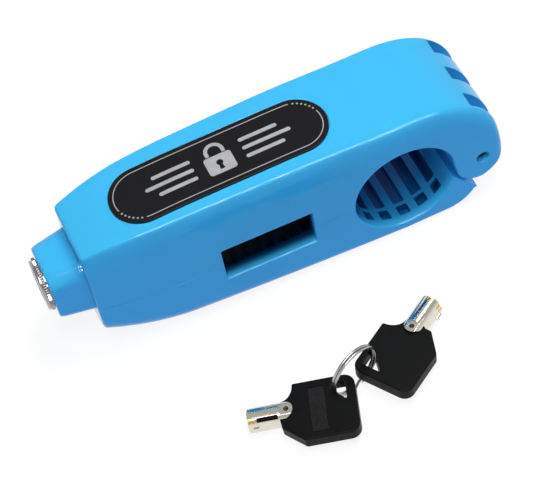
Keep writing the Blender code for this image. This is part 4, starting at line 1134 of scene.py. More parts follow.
@dataclass
class Badge:
    """The black badge plate with its silver line, dots and a plain padlock sign."""

    form: ShellForm
    black: Look
    silver: Look
    x: float = -7.0 * MM
    length: float = 89.4 * MM
    width: float = 26.2 * MM
    shift: float = -1.2 * MM
    low: float = 62.25 * MM
    high: float = 63.15 * MM
    print_rise: float = 0.03 * MM
    line_inset: float = 2.1 * MM
    line_width: float = 0.36 * MM

    def build(self) -> None:
        """Model and dress the plate and its print."""
        plate = prism("badge_plate_dressed", Axis.Z, stadium(self.length, self.width, self.x, 48), self.low, self.high)
        soften(plate, 0.3 * MM, 3)
        follow_roof(plate, self.form, self.shift)
        set_in(plate, self.black, "cover", ["badge_plate"])
        printed = gather("badge_print", self.line_halves() + self.dots() + self.padlock() + self.stripes())
        set_in(follow_roof(printed, self.form, self.shift), self.silver, "cover")

    def ribbon(self, name: str, path: Sequence[Point2], width: float) -> Piece:
        """A thin flat stroke along a path.

        Args:
            name: Name of the stroke.
            path: Points (x, y) along its middle.
            width: Its width.

        Returns:
            The stroke's mesh.
        """
        rings = []
        low = self.high - self.print_rise
        top = self.high + self.print_rise
        for index, point in enumerate(path):
            before = Vector(path[max(0, index - 1)])
            after = Vector(path[min(len(path) - 1, index + 1)])
            along = (after - before).normalized()
            side = Vector((-along.y, along.x)) * (width / 2)
            a = Vector(point) - side
            b = Vector(point) + side
            rings.append([(a.x, a.y, low), (b.x, b.y, low), (b.x, b.y, top), (a.x, a.y, top)])
        return skin(name, rings)

    def line_halves(self) -> list[Piece]:
        """The two halves of the inset line, open at opposite ends."""
        radius = self.width / 2 - self.line_inset
        straight = self.length / 2 - self.width / 2
        right = self.x + straight
        left = self.x - straight
        upper = arc(left, 0.0, radius, 196.0, 90.0, 40) + arc(right, 0.0, radius, 90.0, 78.0, 6)
        lower = arc(right, 0.0, radius, 16.0, -90.0, 40) + arc(left, 0.0, radius, 270.0, 258.0, 6)
        return [self.ribbon("upper_line", upper, self.line_width), self.ribbon("lower_line", lower, self.line_width)]

    def dots(self) -> list[Piece]:
        """Small dots that fill the two breaks in the line."""
        radius = self.width / 2 - self.line_inset
        straight = self.length / 2 - self.width / 2
        made = []
        for side, start in ((1.0, 25.0), (-1.0, 205.0)):
            for x, y in arc(self.x + side * straight, 0.0, radius, start, start + 44.0, 5):
                outline = arc(x, y, 0.4 * MM, 0.0, 345.0, 15)
                made.append(prism("dot", Axis.Z, outline, self.high - self.print_rise, self.high + self.print_rise))
        return made

    def padlock(self) -> list[Piece]:
        """A plain padlock sign, turned so that its top points to the far side."""
        low = self.high - self.print_rise
        top = self.high + self.print_rise
        body = section(5.6 * MM, -6.6 * MM, 2.2 * MM, 1.3 * MM, 1.3 * MM, 6)
        plate = prism("sign_body", Axis.Z, [(self.x + a, b) for a, b in body], low, top)
        hole = arc(self.x, -1.6 * MM, 1.35 * MM, -60.0, 240.0, 24)
        hole += [(self.x - 1.0 * MM, -4.9 * MM), (self.x + 1.0 * MM, -4.9 * MM)]
        carve(plate, prism("sign_keyhole", Axis.Z, hole, low - 1.0 * MM, top + 1.0 * MM))
        bow = [(self.x + 3.3 * MM, 2.6 * MM)] + arc(self.x, 4.2 * MM, 3.3 * MM, 0.0, 180.0, 24)
        bow += [(self.x - 3.3 * MM, 2.6 * MM)]
        return [plate, self.ribbon("sign_shackle", bow, 1.5 * MM)]

    def stripes(self) -> list[Piece]:
        """Three bars at each side of the sign, shorter towards the edge."""
        made = []
        for side in (-1.0, 1.0):
            for y, start, end in ((4.2, 10.0, 26.0), (0.0, 10.0, 30.0), (-4.2, 10.0, 26.0)):
                low = self.x + side * start * MM
                high = self.x + side * end * MM
                outline = stadium(abs(high - low), 1.7 * MM, (low + high) / 2, 10)
                shifted = [(a, b + y * MM) for a, b in outline]
                made.append(prism("bar", Axis.Z, shifted, self.high - self.print_rise, self.high + self.print_rise))
        return made


@dataclass
class LockUnit:
    """The push button: collar, chrome barrel, nut, plug, tumblers and turning bolt."""

    blue: Look
    chrome: Look
    steel: Look
    brass: Look
    axis_z: float = 35.5 * MM
    nose: float = -70.0 * MM
    collar_face: float = -84.0 * MM
    collar_back: float = -62.5 * MM
    collar_half_width: float = 13.3 * MM
    collar_half_height: float = 15.0 * MM
    collar_corner: float = 7.0 * MM
    taper_width: float = 1.5 * MM
    taper_height: float = 1.8 * MM
    collar_edge: float = 1.1 * MM
    bezel_face: float = -86.9 * MM
    bezel_back: float = -84.3 * MM
    bezel_radius: float = 10.8 * MM
    barrel_radius: float = 9.2 * MM
    tail_radius: float = 8.0 * MM
    tail: float = -58.9 * MM
    plug_radius: float = 6.15 * MM
    plug_face: float = -86.1 * MM
    plug_back: float = -65.2 * MM
    keyway_inner: float = 3.45 * MM
    keyway_outer: float = 5.05 * MM
    keyway_depth: float = 6.2 * MM
    retainer_x: float = -68.6 * MM
    tumbler_circle: float = 4.25 * MM
    tumbler_radius: float = 0.6 * MM
    tumbler_length: float = 9.0 * MM
    tumbler_count: int = 7
    teeth: int = 64
    bolt_radius: float = 4.0 * MM
    head_x: float = -38.5 * MM

    def build(self) -> None:
        """Model and dress every piece of the button."""
        set_in(self.collar(), self.blue, "button", ["push_collar"])
        set_in(self.barrel(), self.chrome, "button", ["lock_barrel"])
        set_in(self.nut(), self.brass, "button", ["barrel_nut"])
        set_in(self.retainer(), self.steel, "button", ["plug_retainer"])
        set_in(self.plug(), self.chrome, "rotor", ["lock_plug"])
        set_in(self.bolt(), self.steel, "rotor", ["lock_bolt"])
        self.tumblers()

    def centre(self) -> Point2:
        """The lock's axis (y, z)."""
        return (0.0, self.axis_z)

    def collar(self) -> Piece:
        """The tapered blue collar with its stop.

        Returns:
            The finished mesh.
        """
        levels = []
        for degrees in range(0, 91, 15):
            turn = math.radians(degrees)
            x = self.collar_face + self.collar_edge * (1.0 - math.cos(turn))
            levels.append((x, 1.0, -self.collar_edge * (1.0 - math.sin(turn))))
        for x in spread(self.collar_face + 2.0 * self.collar_edge, self.nose, 8):
            levels.append((x, (self.nose - x) / (self.nose - self.collar_face), 0.0))
        levels.append((self.collar_back, 0.0, 0.0))
        rings = []
        for x, taper, grow in levels:
            half_w = self.collar_half_width - self.taper_width * taper + grow
            half_h = self.collar_half_height - self.taper_height * taper + grow
            outline = section(half_w, self.axis_z - half_h, self.axis_z + half_h, self.collar_corner + grow,
                              self.collar_corner + grow, 12)
            rings.append([Axis.X.place(x, *point) for point in outline])
        collar = skin("push_collar_dressed", rings)
        top = self.axis_z - self.collar_half_height + 1.0 * MM
        stop = block("collar_stop", (self.collar_back - 3.8 * MM, -6.0 * MM, top - 4.0 * MM),
                     (self.collar_back - 0.1 * MM, 6.0 * MM, top))
        carve(collar, stop, Join.FUSE)
        bore = self.barrel_radius + 0.3 * MM
        profile = ((self.collar_face - PAST, 0.0), (self.collar_face - PAST, bore + 0.6 * MM),
                   (self.collar_face, bore + 0.6 * MM), (self.collar_face + 0.6 * MM, bore),
                   (self.collar_back + PAST, bore), (self.collar_back + PAST, 0.0))
        return carve(collar, turned("collar_bore", Axis.X, self.centre(), profile, 96))

    def barrel(self) -> Piece:
        """The chrome barrel: rounded front ring, groove, toothed rear ring, body and threaded tail.

        Returns:
            The finished mesh.
        """
        face = self.bezel_face
        bore = self.plug_radius + 0.3 * MM
        front = self.bezel_radius - 0.5 * MM
        profile = [(face + 0.35 * MM, bore), (face, bore + 0.35 * MM), (face, front - 0.9 * MM)]
        profile += [(face + 0.9 * MM - 0.9 * MM * math.sin(math.radians(d)),
                     front - 0.9 * MM + 0.9 * MM * math.cos(math.radians(d))) for d in (75, 60, 45, 30, 15, 0)]
        profile += [(face + 1.0 * MM, front), (face + 1.05 * MM, front - 0.35 * MM),
                    (face + 1.25 * MM, front - 0.35 * MM), (face + 1.3 * MM, self.bezel_radius - 0.2 * MM),
                    (face + 1.4 * MM, self.bezel_radius), (self.bezel_back - 0.2 * MM, self.bezel_radius),
                    (self.bezel_back, self.bezel_radius - 0.2 * MM), (self.bezel_back, self.barrel_radius),
                    (self.collar_back, self.barrel_radius), (self.collar_back, self.tail_radius)]
        threads = int((self.tail - self.collar_back) / (0.6 * MM))
        for index in range(threads):
            x = self.collar_back + 0.3 * MM + index * 0.6 * MM
            profile += [(x, self.tail_radius), (x + 0.3 * MM, self.tail_radius - 0.25 * MM)]
        hole = self.bolt_radius + 0.4 * MM
        back = self.plug_back + 0.3 * MM
        profile += [(self.tail, self.tail_radius - 0.2 * MM), (self.tail, hole), (back, hole), (back, bore)]
        barrel = turned("lock_barrel_dressed", Axis.X, self.centre(), profile, 2 * self.teeth)
        self.cut_teeth(barrel)
        hole_tool = rod("retainer_hole", Axis.Z, (self.retainer_x, 0.0), 1.05 * MM,
                        self.axis_z + self.plug_radius - PAST, self.axis_z + self.barrel_radius + PAST, 20)
        return carve(barrel, hole_tool)

    def cut_teeth(self, barrel: Piece) -> None:
        """Pull every second row of the rear ring in, so that it is toothed.

        Args:
            barrel: Barrel that is changed.
        """
        edit_all(barrel)
        bpy.ops.mesh.select_all(action="DESELECT")
        bpy.ops.object.mode_set(mode="OBJECT")
        step = 2.0 * math.pi / (2 * self.teeth)
        for vertex in barrel.data.vertices:
            out = math.hypot(vertex.co.y, vertex.co.z - self.axis_z)
            row = round(math.atan2(vertex.co.z - self.axis_z, vertex.co.y) / step)
            in_band = self.bezel_face + 1.35 * MM < vertex.co.x < self.bezel_back - 0.1 * MM
            vertex.select = in_band and row % 2 == 0 and out > self.bezel_radius - 0.1 * MM
        bpy.ops.object.mode_set(mode="EDIT")
        share = (self.bezel_radius - 0.5 * MM) / self.bezel_radius
        bpy.ops.transform.resize(value=(1.0, share, share), center_override=(0.0, 0.0, self.axis_z))
        bpy.ops.object.mode_set(mode="OBJECT")

    def nut(self) -> Piece:
        """The chamfered hexagon nut behind the collar."""
        low = self.collar_back + 0.3 * MM
        high = low + 3.0 * MM
        corner = 21.0 * MM / math.sqrt(3.0)
        nut = prism("barrel_nut_dressed", Axis.X, arc(0.0, self.axis_z, corner, 0.0, 300.0, 5), low, high)
        crown = ((low, 0.0), (low, 10.6 * MM), (low + 0.8 * MM, corner + 0.2 * MM),
                 (high - 0.8 * MM, corner + 0.2 * MM), (high, 10.6 * MM), (high, 0.0))
        carve(nut, turned("nut_crown", Axis.X, self.centre(), crown, 72), Join.KEEP)
        bore = self.tail_radius + 0.3 * MM
        profile = ((low - PAST, 0.0), (low - PAST, bore + 0.5 * MM), (low, bore + 0.5 * MM),
                   (low + 0.5 * MM, bore), (high - 0.5 * MM, bore), (high, bore + 0.5 * MM),
                   (high + PAST, bore + 0.5 * MM), (high + PAST, 0.0))
        return carve(nut, turned("nut_bore", Axis.X, self.centre(), profile, 72))

    def retainer(self) -> Piece:
        """The pin that keeps the plug in."""
        low = self.axis_z + self.plug_radius - 0.9 * MM
        high = self.axis_z + self.barrel_radius
        profile = ((low, 0.0), (low, 0.75 * MM), (low + 0.15 * MM, 0.9 * MM), (high - 0.2 * MM, 0.9 * MM),
                   (high, 0.6 * MM), (high, 0.0))
        return turned("plug_retainer_dressed", Axis.Z, (self.retainer_x, 0.0), profile, 24)

    def plug(self) -> Piece:
        """The plug: centre post with an index notch, keyway, tumbler wells and drive socket.

        Returns:
            The finished mesh.
        """
        face = self.plug_face
        groove = self.plug_radius - 1.2 * MM
        socket = 2.9 * MM
        floor = face + self.keyway_depth
        profile = (
            (face + 0.2 * MM, self.keyway_outer), (face, self.keyway_outer + 0.2 * MM),
            (face, self.plug_radius - 0.2 * MM), (face + 0.2 * MM, self.plug_radius),
            (self.retainer_x - 1.2 * MM, self.plug_radius), (self.retainer_x - 1.2 * MM, groove),
            (self.retainer_x + 1.2 * MM, groove), (self.retainer_x + 1.2 * MM, self.plug_radius),
            (self.plug_back, self.plug_radius), (self.plug_back, socket),
            (self.plug_back - 4.3 * MM, socket), (self.plug_back - 4.3 * MM, socket / 4),
            (face + 0.6 * MM, socket / 4), (face + 0.3 * MM, 1.1 * MM), (face, 1.5 * MM),
            (face, self.keyway_inner - 0.3 * MM), (face + 0.3 * MM, self.keyway_inner),
            (floor, self.keyway_inner), (floor, self.keyway_outer),
        )
        plug = turned("lock_plug_dressed", Axis.X, self.centre(), profile, 84)
        wells = [rod(f"well_{index}", Axis.X, spot, self.tumbler_radius + 0.15 * MM, floor - PAST,
                     floor + 8.0 * MM, 16) for index, spot in enumerate(self.tumbler_places())]
        carve(plug, gather("tumbler_wells", wells))
        notch = block("index_notch", (face - 1.0 * MM, -0.7 * MM, self.axis_z - self.keyway_inner - 0.4 * MM),
                      (face + 3.0 * MM, 0.7 * MM, self.axis_z - self.keyway_inner + 0.9 * MM))
        return carve(plug, notch)

    def tumbler_places(self) -> list[Point2]:
        """Centres (y, z) of the tumbler pins."""
        turn = 360.0 / self.tumbler_count
        return arc(0.0, self.axis_z, self.tumbler_circle, 0.0, 360.0 - turn, self.tumbler_count - 1)

    def tumblers(self) -> None:
        """Turn one tumbler pin, copy it round the post and dress each copy."""
        low = self.plug_face
        radius = self.tumbler_radius
        places = self.tumbler_places()
        dome = [(low + radius * 0.6 * (1.0 - math.sin(math.radians(d))), radius * math.cos(math.radians(d)))
                for d in (90, 65, 40, 20, 0)]
        profile = dome + [(low + self.tumbler_length - 0.1 * MM, radius), (low + self.tumbler_length, radius * 0.8),
                          (low + self.tumbler_length, 0.0)]
        first = turned("tumbler_dressed_1", Axis.X, places[0], profile, 20)
        made = [first]
        for y, z in places[1:]:
            focus(first)
            bpy.ops.object.duplicate(linked=False)
            copy = bpy.context.object
            copy.location = (0.0, y - places[0][0], z - places[0][1])
            bpy.ops.object.transform_apply(location=True, rotation=True, scale=True)
            made.append(copy)
        for index, pin in enumerate(made, start=1):
            pin.name = f"tumbler_dressed_{index}"
            set_in(pin, self.brass, f"pin_{index}", [f"tumbler_pin_{index}"])

    def bolt(self) -> Piece:
        """The turning bolt with its drive stud and cross head."""
        stud = self.plug_back - 4.0 * MM
        shank = self.plug_back + 0.3 * MM
        neck = self.head_x + 1.4 * MM
        profile = ((stud, 0.0), (stud, 2.3 * MM), (stud + 0.3 * MM, 2.6 * MM), (shank, 2.6 * MM),
                   (shank, self.bolt_radius - 0.4 * MM), (shank + 0.4 * MM, self.bolt_radius),
                   (neck, self.bolt_radius), (neck, 0.0))
        bolt = turned("lock_bolt_dressed", Axis.X, self.centre(), profile, 48)
        head = block("bolt_head", (self.head_x, -7.0 * MM, self.axis_z - 3.0 * MM),
                     (self.head_x + 2.8 * MM, 7.0 * MM, self.axis_z + 3.0 * MM))
        return carve(bolt, soften(head, 0.5 * MM, 3), Join.FUSE)


@dataclass
class Latch:
    """What holds the button inside the shells: guide, catch plate, their screws, the spring and the pin."""

    form: ShellForm
    steel: Look
    spring_wire: Look
    dark: Look
    plate: float = 2.4 * MM
    half_width: float = 11.0 * MM
    guide_x: float = -41.3 * MM
    guide_foot: float = 14.0 * MM
    guide_low: float = 8.3 * MM
    guide_top: float = 44.0 * MM
    catch_x: float = -34.9 * MM
    catch_foot: float = 11.0 * MM
    catch_top: float = 54.5 * MM
    catch_low: float = 26.7 * MM
    screw_spacing: float = 12.0 * MM
    spring_start: float = -58.6 * MM
    spring_end: float = -41.6 * MM
    spring_radius: float = 6.0 * MM
    spring_thick: float = 0.6 * MM
    spring_turns: float = 6.0
    pin_reach: float = 20.6 * MM
    pin_radius: float = 2.4 * MM

    def build(self) -> None:
        """Model and dress every piece of the latch."""
        set_in(self.guide(), self.steel, "base", ["bolt_guide"])
        set_in(self.catch(), self.steel, "cover", ["catch_plate"])
        guide_screw_x = self.guide_x + self.guide_foot - 4.0 * MM
        catch_screw_x = self.catch_x + self.plate + self.catch_foot / 2
        for index, side in enumerate((-1, 1), start=1):
            y = side * self.screw_spacing / 2
            screw = self.screw(f"guide_screw_dressed_{index}", guide_screw_x, y,
                               self.guide_low + self.plate + 0.3 * MM, -1.0)
            set_in(screw, self.steel, "base", [f"guide_screw_{index}"])
            screw = self.screw(f"catch_screw_dressed_{index}", catch_screw_x, y,
                               self.catch_top - self.plate - 0.3 * MM, 1.0)
            set_in(screw, self.steel, "cover", [f"catch_screw_{index}"])
        set_in(self.hinge_pin(), self.dark, "base", ["hinge_pin"])
        spring = set_in(self.spring(), self.spring_wire, "base", ["return_spring"])
        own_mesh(spring)

    def holes(self, name: str, x: float, low: float, high: float) -> Piece:
        """A pair of screw holes through a plate."""
        sides = [rod(f"{name}_{side}", Axis.Z, (x, side * self.screw_spacing / 2), 1.55 * MM, low, high, 24)
                 for side in (-1, 1)]
        return gather(name, sides)

    def guide(self) -> Piece:
        """The bent bracket that guides the bolt, with a rounded bend and corners."""
        x = self.guide_x
        low = self.guide_low
        far = x + self.guide_foot
        bend = 1.2 * MM
        outline = [(far, low), (far, low + self.plate)]
        outline += arc(x + self.plate + bend, low + self.plate + bend, bend, 270.0, 180.0, 5)
        outline += [(x + self.plate, self.guide_top), (x, self.guide_top)]
        outline += arc(x + self.plate, low + self.plate, self.plate, 180.0, 270.0, 6)
        guide = prism("bolt_guide_dressed", Axis.Y, outline, -self.half_width, self.half_width)
        soften(guide, 0.35 * MM, 2)
        carve(guide, rod("guide_hole", Axis.X, (0.0, self.form.lock_z), 4.4 * MM, x - PAST,
                         x + self.plate + PAST, 48))
        return carve(guide, self.holes("guide_holes", far - 4.0 * MM, low - PAST, low + self.plate + PAST))

    def catch(self) -> Piece:
        """The bent plate that hangs from the cover and takes the bolt's head."""
        x = self.catch_x
        top = self.catch_top
        back = x + self.plate
        bend = 1.2 * MM
        outline = [(x, self.catch_low), (back, self.catch_low)]
        outline += arc(back + bend, top - self.plate - bend, bend, 180.0, 90.0, 5)
        outline += [(back + self.catch_foot, top - self.plate), (back + self.catch_foot, top)]
        outline += arc(x + self.plate, top - self.plate, self.plate, 90.0, 180.0, 6)
        plate = prism("catch_plate_dressed", Axis.Y, outline, -self.half_width, self.half_width)
        soften(plate, 0.35 * MM, 2)
        window = section(7.8 * MM, self.form.lock_z - 4.8 * MM, self.form.lock_z + 4.8 * MM, 0.8 * MM, 0.8 * MM, 4)
        carve(plate, prism("catch_window", Axis.X, window, x - PAST, back + PAST))
        return carve(plate, self.holes("catch_holes", back + self.catch_foot / 2, top - self.plate - PAST,
                                       top + PAST))

    def screw(self, name: str, x: float, y: float, seat: float, up: float) -> Piece:
        """A pan-head screw with a cross recess and a ridged shank.

        Args:
            name: Name of the piece.
            x: Place along the lock.
            y: Place across it.
            seat: Height that the head bears on.
            up: 1 where the shank points up, -1 where it points down.

        Returns:
            The finished mesh.
        """
        head = seat - up * 1.8 * MM
        tip = seat + up * 7.2 * MM
        profile = [(head, 0.0), (head, 1.2 * MM), (head + up * 0.25 * MM, 2.0 * MM), (head + up * 0.9 * MM, 2.6 * MM),
                   (seat, 2.6 * MM), (seat, 1.25 * MM)]
        for index in range(8):
            along = seat + up * (0.8 + 0.7 * index) * MM
            profile += [(along, 1.25 * MM), (along + up * 0.35 * MM, 0.95 * MM)]
        profile += [(tip, 0.7 * MM), (tip, 0.0)]
        screw = turned(name, Axis.Z, (x, y), profile, 28)
        low, high = sorted((head - up * 0.5 * MM, head + up * 1.0 * MM))
        cross = block("cross_a", (x - 1.5 * MM, y - 0.3 * MM, low), (x + 1.5 * MM, y + 0.3 * MM, high))
        carve(screw, cross)
        return carve(screw, block("cross_b", (x - 0.3 * MM, y - 1.5 * MM, low), (x + 0.3 * MM, y + 1.5 * MM, high)))

    def hinge_pin(self) -> Piece:
        """The hinge pin with rounded ends."""
        reach = self.pin_reach
        radius = self.pin_radius
        right = [(reach - 0.5 * MM, radius), (reach - 0.15 * MM, radius - 0.15 * MM), (reach, radius - 0.5 * MM),
                 (reach, 0.0)]
        left = [(-along, wide) for along, wide in reversed(right)]
        return turned("hinge_pin_dressed", Axis.Y, (self.form.pin_x, self.form.pin_z), left + right, 40)

    def spring(self) -> Piece:
        """The return spring, with its ends wound closer than its middle."""
        per_turn = 40
        count = int(self.spring_turns * per_turn)
        wire = self.spring_thick
        length = self.spring_end - self.spring_start - 2.0 * wire
        rings = []
        for step in range(count + 1):
            share = step / count
            eased = share - 0.055 * math.sin(2.0 * math.pi * share)
            angle = 2.0 * math.pi * step / per_turn
            x = self.spring_start + wire + length * eased
            out = Vector((0.0, math.cos(angle), math.sin(angle)))
            middle = Vector((x, 0.0, self.form.lock_z)) + out * self.spring_radius
            ring = []
            for turn in range(12):
                around = 2.0 * math.pi * turn / 12
                ring.append(tuple(middle + out * (wire * math.cos(around))
                                  + Vector((wire * math.sin(around), 0.0, 0.0))))
            rings.append(ring)
        return skin("return_spring_dressed", rings)


@dataclass
class KeySet:
    """Two tubular keys with black bows, and the split ring that they hang on."""

    plastic: Look
    panel: Look
    nickel: Look
    wire: Look
    dark: Look
    brass: Look
    bow_length: float = 29.4 * MM
    bow_width: float = 25.2 * MM
    bow_offset: float = 1.5 * MM
    bow_thickness: float = 5.7 * MM
    bow_corner: float = 4.2 * MM
    mouth: float = 11.2 * MM
    chamfer: float = 8.2 * MM
    scallop: float = 5.5 * MM
    panel_from_mouth: float = 14.4 * MM
    panel_length: float = 6.4 * MM
    panel_width: float = 19.0 * MM
    hole_leg: float = 8.7 * MM
    hole_end: float = 3.6 * MM
    hole_side: float = 2.3 * MM
    tube_radius: float = 4.75 * MM
    tube_wall: float = 1.0 * MM
    tube_length: float = 12.6 * MM
    tongue: float = 5.0 * MM
    rivet_radius: float = 1.0 * MM
    core_length: float = 3.3 * MM
    core_radius: float = 4.3 * MM
    bit_width: float = 2.2 * MM
    bits: tuple[Point2, ...] = ((54.0, 2.7), (-29.0, 2.9), (-90.0, 1.8), (120.0, 1.4), (180.0, 2.2))
    tilt: float = math.radians(3.5)
    headings: tuple[float, float] = (math.radians(161.5), math.radians(33.5))
    ring_spot: Point3 = (7.4 * MM, -78.1 * MM, 11.4 * MM)
    ring_heading: float = math.radians(20.5)
    ring_radius: float = 10.9 * MM
    ring_wire: float = 0.5 * MM
    ring_offset: float = 0.62 * MM
    ring_gap: float = math.radians(11.0)
    hole_from_ring: float = 4.35 * MM
    shifts: tuple[float, float] = (0.85 * MM, 1.2 * MM)

    def build(self) -> None:
        """Model, place and dress the keys and the ring."""
        for number in (1, 2):
            pose = self.pose(number)
            body = f"key_{number}"
            for piece, look, slot, node in self.key(number):
                piece.matrix_world = pose
                focus(piece)
                bpy.ops.object.transform_apply(location=True, rotation=True, scale=True)
                set_in(piece, look, body, node)
        set_in(self.ring(), self.wire, "ring", ["split_ring"])

    def key(self, number: int) -> list[tuple[Piece, Look, Slot, list[str]]]:
        """The pieces of one key in its own frame: u to the tip, v across, w up.

        Args:
            number: 1 or 2.

        Returns:
            Each piece with its material, slot and the solid that it stands for.
        """
        name = f"key_{number}"
        return [
            (self.bow(f"{name}_bow_dressed"), self.plastic, Slot.BOW, [f"{name}_bow"]),
            (self.panel_plate(f"{name}_panel"), self.panel, Slot.BOW, []),
            (self.tube(f"{name}_tube_dressed"), self.nickel, Slot.NICKEL, [f"{name}_tube"]),
            (self.core(f"{name}_core"), self.brass, Slot.BRASS, []),
            (self.rivet(f"{name}_rivet_dressed"), self.dark, Slot.NICKEL, [f"{name}_rivet"]),
        ]

    def hole_corner(self) -> Point2:
        """(u, v) of the square corner of the ring hole."""
        return (self.hole_end - self.bow_length, self.bow_offset + self.hole_side - self.bow_width / 2)

    def ring_axes(self) -> tuple[Vector, Vector]:
        """The ring's own level direction and the direction square to its plane."""
        along = Vector((math.cos(self.ring_heading), math.sin(self.ring_heading), 0.0))
        return along, Vector((-along.y, along.x, 0.0))

    def pose(self, number: int) -> Matrix:
        """Where a key lies: hung on the ring by its hole, its tube's tip on the floor.

        Args:
            number: 1 or 2; the second lies face down.

        Returns:
            The key's place.
        """
        flip = number == 2
        outward = 1.0 if flip else -1.0
        heading = self.headings[number - 1]
        corner_u, corner_v = self.hole_corner()
        turn = Matrix.Rotation(heading, 4, "Z") @ Matrix.Rotation(self.tilt, 4, "Y")
        if flip:
            turn = turn @ Matrix.Rotation(math.pi, 4, "X")
        flat = Matrix.Rotation(heading, 3, "Z") @ Vector((corner_u, -corner_v if flip else corner_v, 0.0))
        along, across = self.ring_axes()
        spot = Vector(self.ring_spot) + along * (outward * self.hole_from_ring) + across * self.shifts[number - 1]
        lift = self.tube_radius * math.cos(self.tilt) + self.tube_length * math.sin(self.tilt)
        return Matrix.Translation((spot.x - flat.x, spot.y - flat.y, lift)) @ turn

    def bow_outline(self) -> list[Point2]:
        """Outline (u, v) of the bow: mouth, chamfer, two round corners and a scallop."""
        left = self.bow_offset - self.bow_width / 2
        right = self.bow_offset + self.bow_width / 2
        mouth = self.bow_offset - self.mouth / 2
        far = self.bow_corner - self.bow_length
        points = [(0.0, mouth), (0.0, mouth + self.mouth), (-self.chamfer, right)]
        points += arc(far, right - self.bow_corner, self.bow_corner, 90.0, 180.0, 12)
        points += arc(far, left + self.bow_corner, self.bow_corner, 180.0, 270.0, 12)
        deep = mouth - left
        for degrees in range(0, 90, 6):
            turn = math.radians(degrees)
            points.append((-self.scallop * math.cos(turn), left + deep * math.sin(turn)))
        return points

    def bow(self, name: str) -> Piece:
        """A moulded bow with rounded edges, ring hole, panel recess and rivet hole."""
        half = self.bow_thickness / 2
        bow = soften(prism(name, Axis.Z, self.bow_outline(), -half, half), 0.8 * MM, 4, 40.0)
        u, v = self.hole_corner()
        outline = arc(u + 0.8 * MM, v + 0.8 * MM, 0.8 * MM, 180.0, 270.0, 6)
        outline += arc(u + self.hole_leg - 1.2 * MM, v + 0.5 * MM, 0.5 * MM, -90.0, 45.0, 6)
        outline += arc(u + 0.5 * MM, v + self.hole_leg - 1.2 * MM, 0.5 * MM, 45.0, 180.0, 6)
        carve(bow, prism(name + "_hole", Axis.Z, outline, -half - PAST, half + PAST))
        carve(bow, self.panel_block(name + "_recess", 0.0, half - 0.45 * MM, half + PAST))
        carve(bow, rod(name + "_rivet", Axis.Z, (-self.tongue / 2, 0.0), self.rivet_radius + 0.3 * MM,
                       -half - PAST, half + PAST, 24))
        soften(bow, 0.25 * MM, 2, 60.0)
        spigot = rod(name + "_spigot", Axis.X, (0.0, 0.0), self.tube_radius - self.tube_wall - 0.05 * MM, -0.3 * MM,
                     self.tube_length - self.core_length - 0.3 * MM, 48)
        return carve(bow, spigot, Join.FUSE)

    def panel_block(self, name: str, inset: float, low: float, high: float) -> Piece:
        """A block with the panel's outline, drawn in by an inset."""
        u = -self.panel_from_mouth
        half_u = self.panel_length / 2 - inset
        half_v = self.panel_width / 2 - inset
        outline = section(half_v, u - half_u, u + half_u, 0.7 * MM, 0.7 * MM, 4)
        return prism(name, Axis.Z, [(b, a + self.bow_offset) for a, b in outline], low, high)

    def panel_plate(self, name: str) -> Piece:
        """The smooth inlay of the panel."""
        half = self.bow_thickness / 2
        plate = self.panel_block(name, 0.12 * MM, half - 0.44 * MM, half - 0.16 * MM)
        return soften(plate, 0.1 * MM, 2)

    def tube(self, name: str) -> Piece:
        """A plated tube with two round tongues, end cuts, a rolled seam and a guide lug.

        Args:
            name: Name of the piece.

        Returns:
            The finished mesh.
        """
        outer = self.tube_radius
        inner = outer - self.tube_wall
        tip = self.tube_length
        start = -self.tongue
        seat = self.core_radius + 0.03 * MM
        profile = ((start, inner), (start, outer), (tip - 0.2 * MM, outer), (tip - 0.06 * MM, outer - 0.06 * MM),
                   (tip, outer - 0.2 * MM), (tip, seat), (tip - self.core_length, seat), (tip - self.core_length, inner))
        tube = turned(name, Axis.X, (0.0, 0.0), profile, 96)
        wide = outer + PAST
        gap = self.bow_thickness / 2 + 0.3 * MM
        carve(tube, block(name + "_gap", (start - PAST, -wide, -gap), (0.3 * MM, wide, gap)))
        reach = math.sqrt(outer ** 2 - gap ** 2)
        outline = [(start - PAST, wide), (start - PAST, -wide), (start + reach, -wide)]
        outline += arc(start + reach, 0.0, reach, 270.0, 90.0, 28) + [(start + reach, wide)]
        carve(tube, prism(name + "_end", Axis.Z, outline, -wide, wide))
        flat = outer - 0.55 * MM
        sides = [block(f"{name}_flat_{side}", (start - PAST, -wide, min(side * flat, side * wide)),
                       (-0.1 * MM, wide, max(side * flat, side * wide))) for side in (-1, 1)]
        carve(tube, gather(name + "_flats", sides))
        carve(tube, rod(name + "_rivet", Axis.Z, (start / 2, 0.0), 1.0 * MM, -wide, wide, 24))
        cuts = [self.radial_block(f"{name}_bit_{degrees}", degrees, self.bit_width, tip - depth * MM, tip + PAST)
                for degrees, depth in self.bits]
        carve(tube, gather(name + "_bits", cuts))
        carve(tube, self.radial_block(name + "_seam", 55.0, 1.8 * MM, 0.9 * MM, tip - self.core_length - 0.2 * MM))
        lug = self.radial_block(name + "_lug", 12.0, 1.6 * MM, 8.0 * MM, 10.8 * MM, outer - 0.3 * MM, outer + 0.7 * MM)
        return carve(tube, soften(lug, 0.2 * MM, 2), Join.FUSE)

    def core(self, name: str) -> Piece:
        """The bare brass inside the tip, which shows where the cuts pass the plating."""
        low = self.tube_length - self.core_length + 0.03 * MM
        high = self.tube_length - 0.08 * MM
        inner = self.tube_radius - self.tube_wall
        profile = ((low, inner), (low, self.core_radius), (high - 0.15 * MM, self.core_radius),
                   (high, self.core_radius - 0.15 * MM), (high, inner + 0.15 * MM), (high - 0.15 * MM, inner))
        return turned(name, Axis.X, (0.0, 0.0), profile, 96)

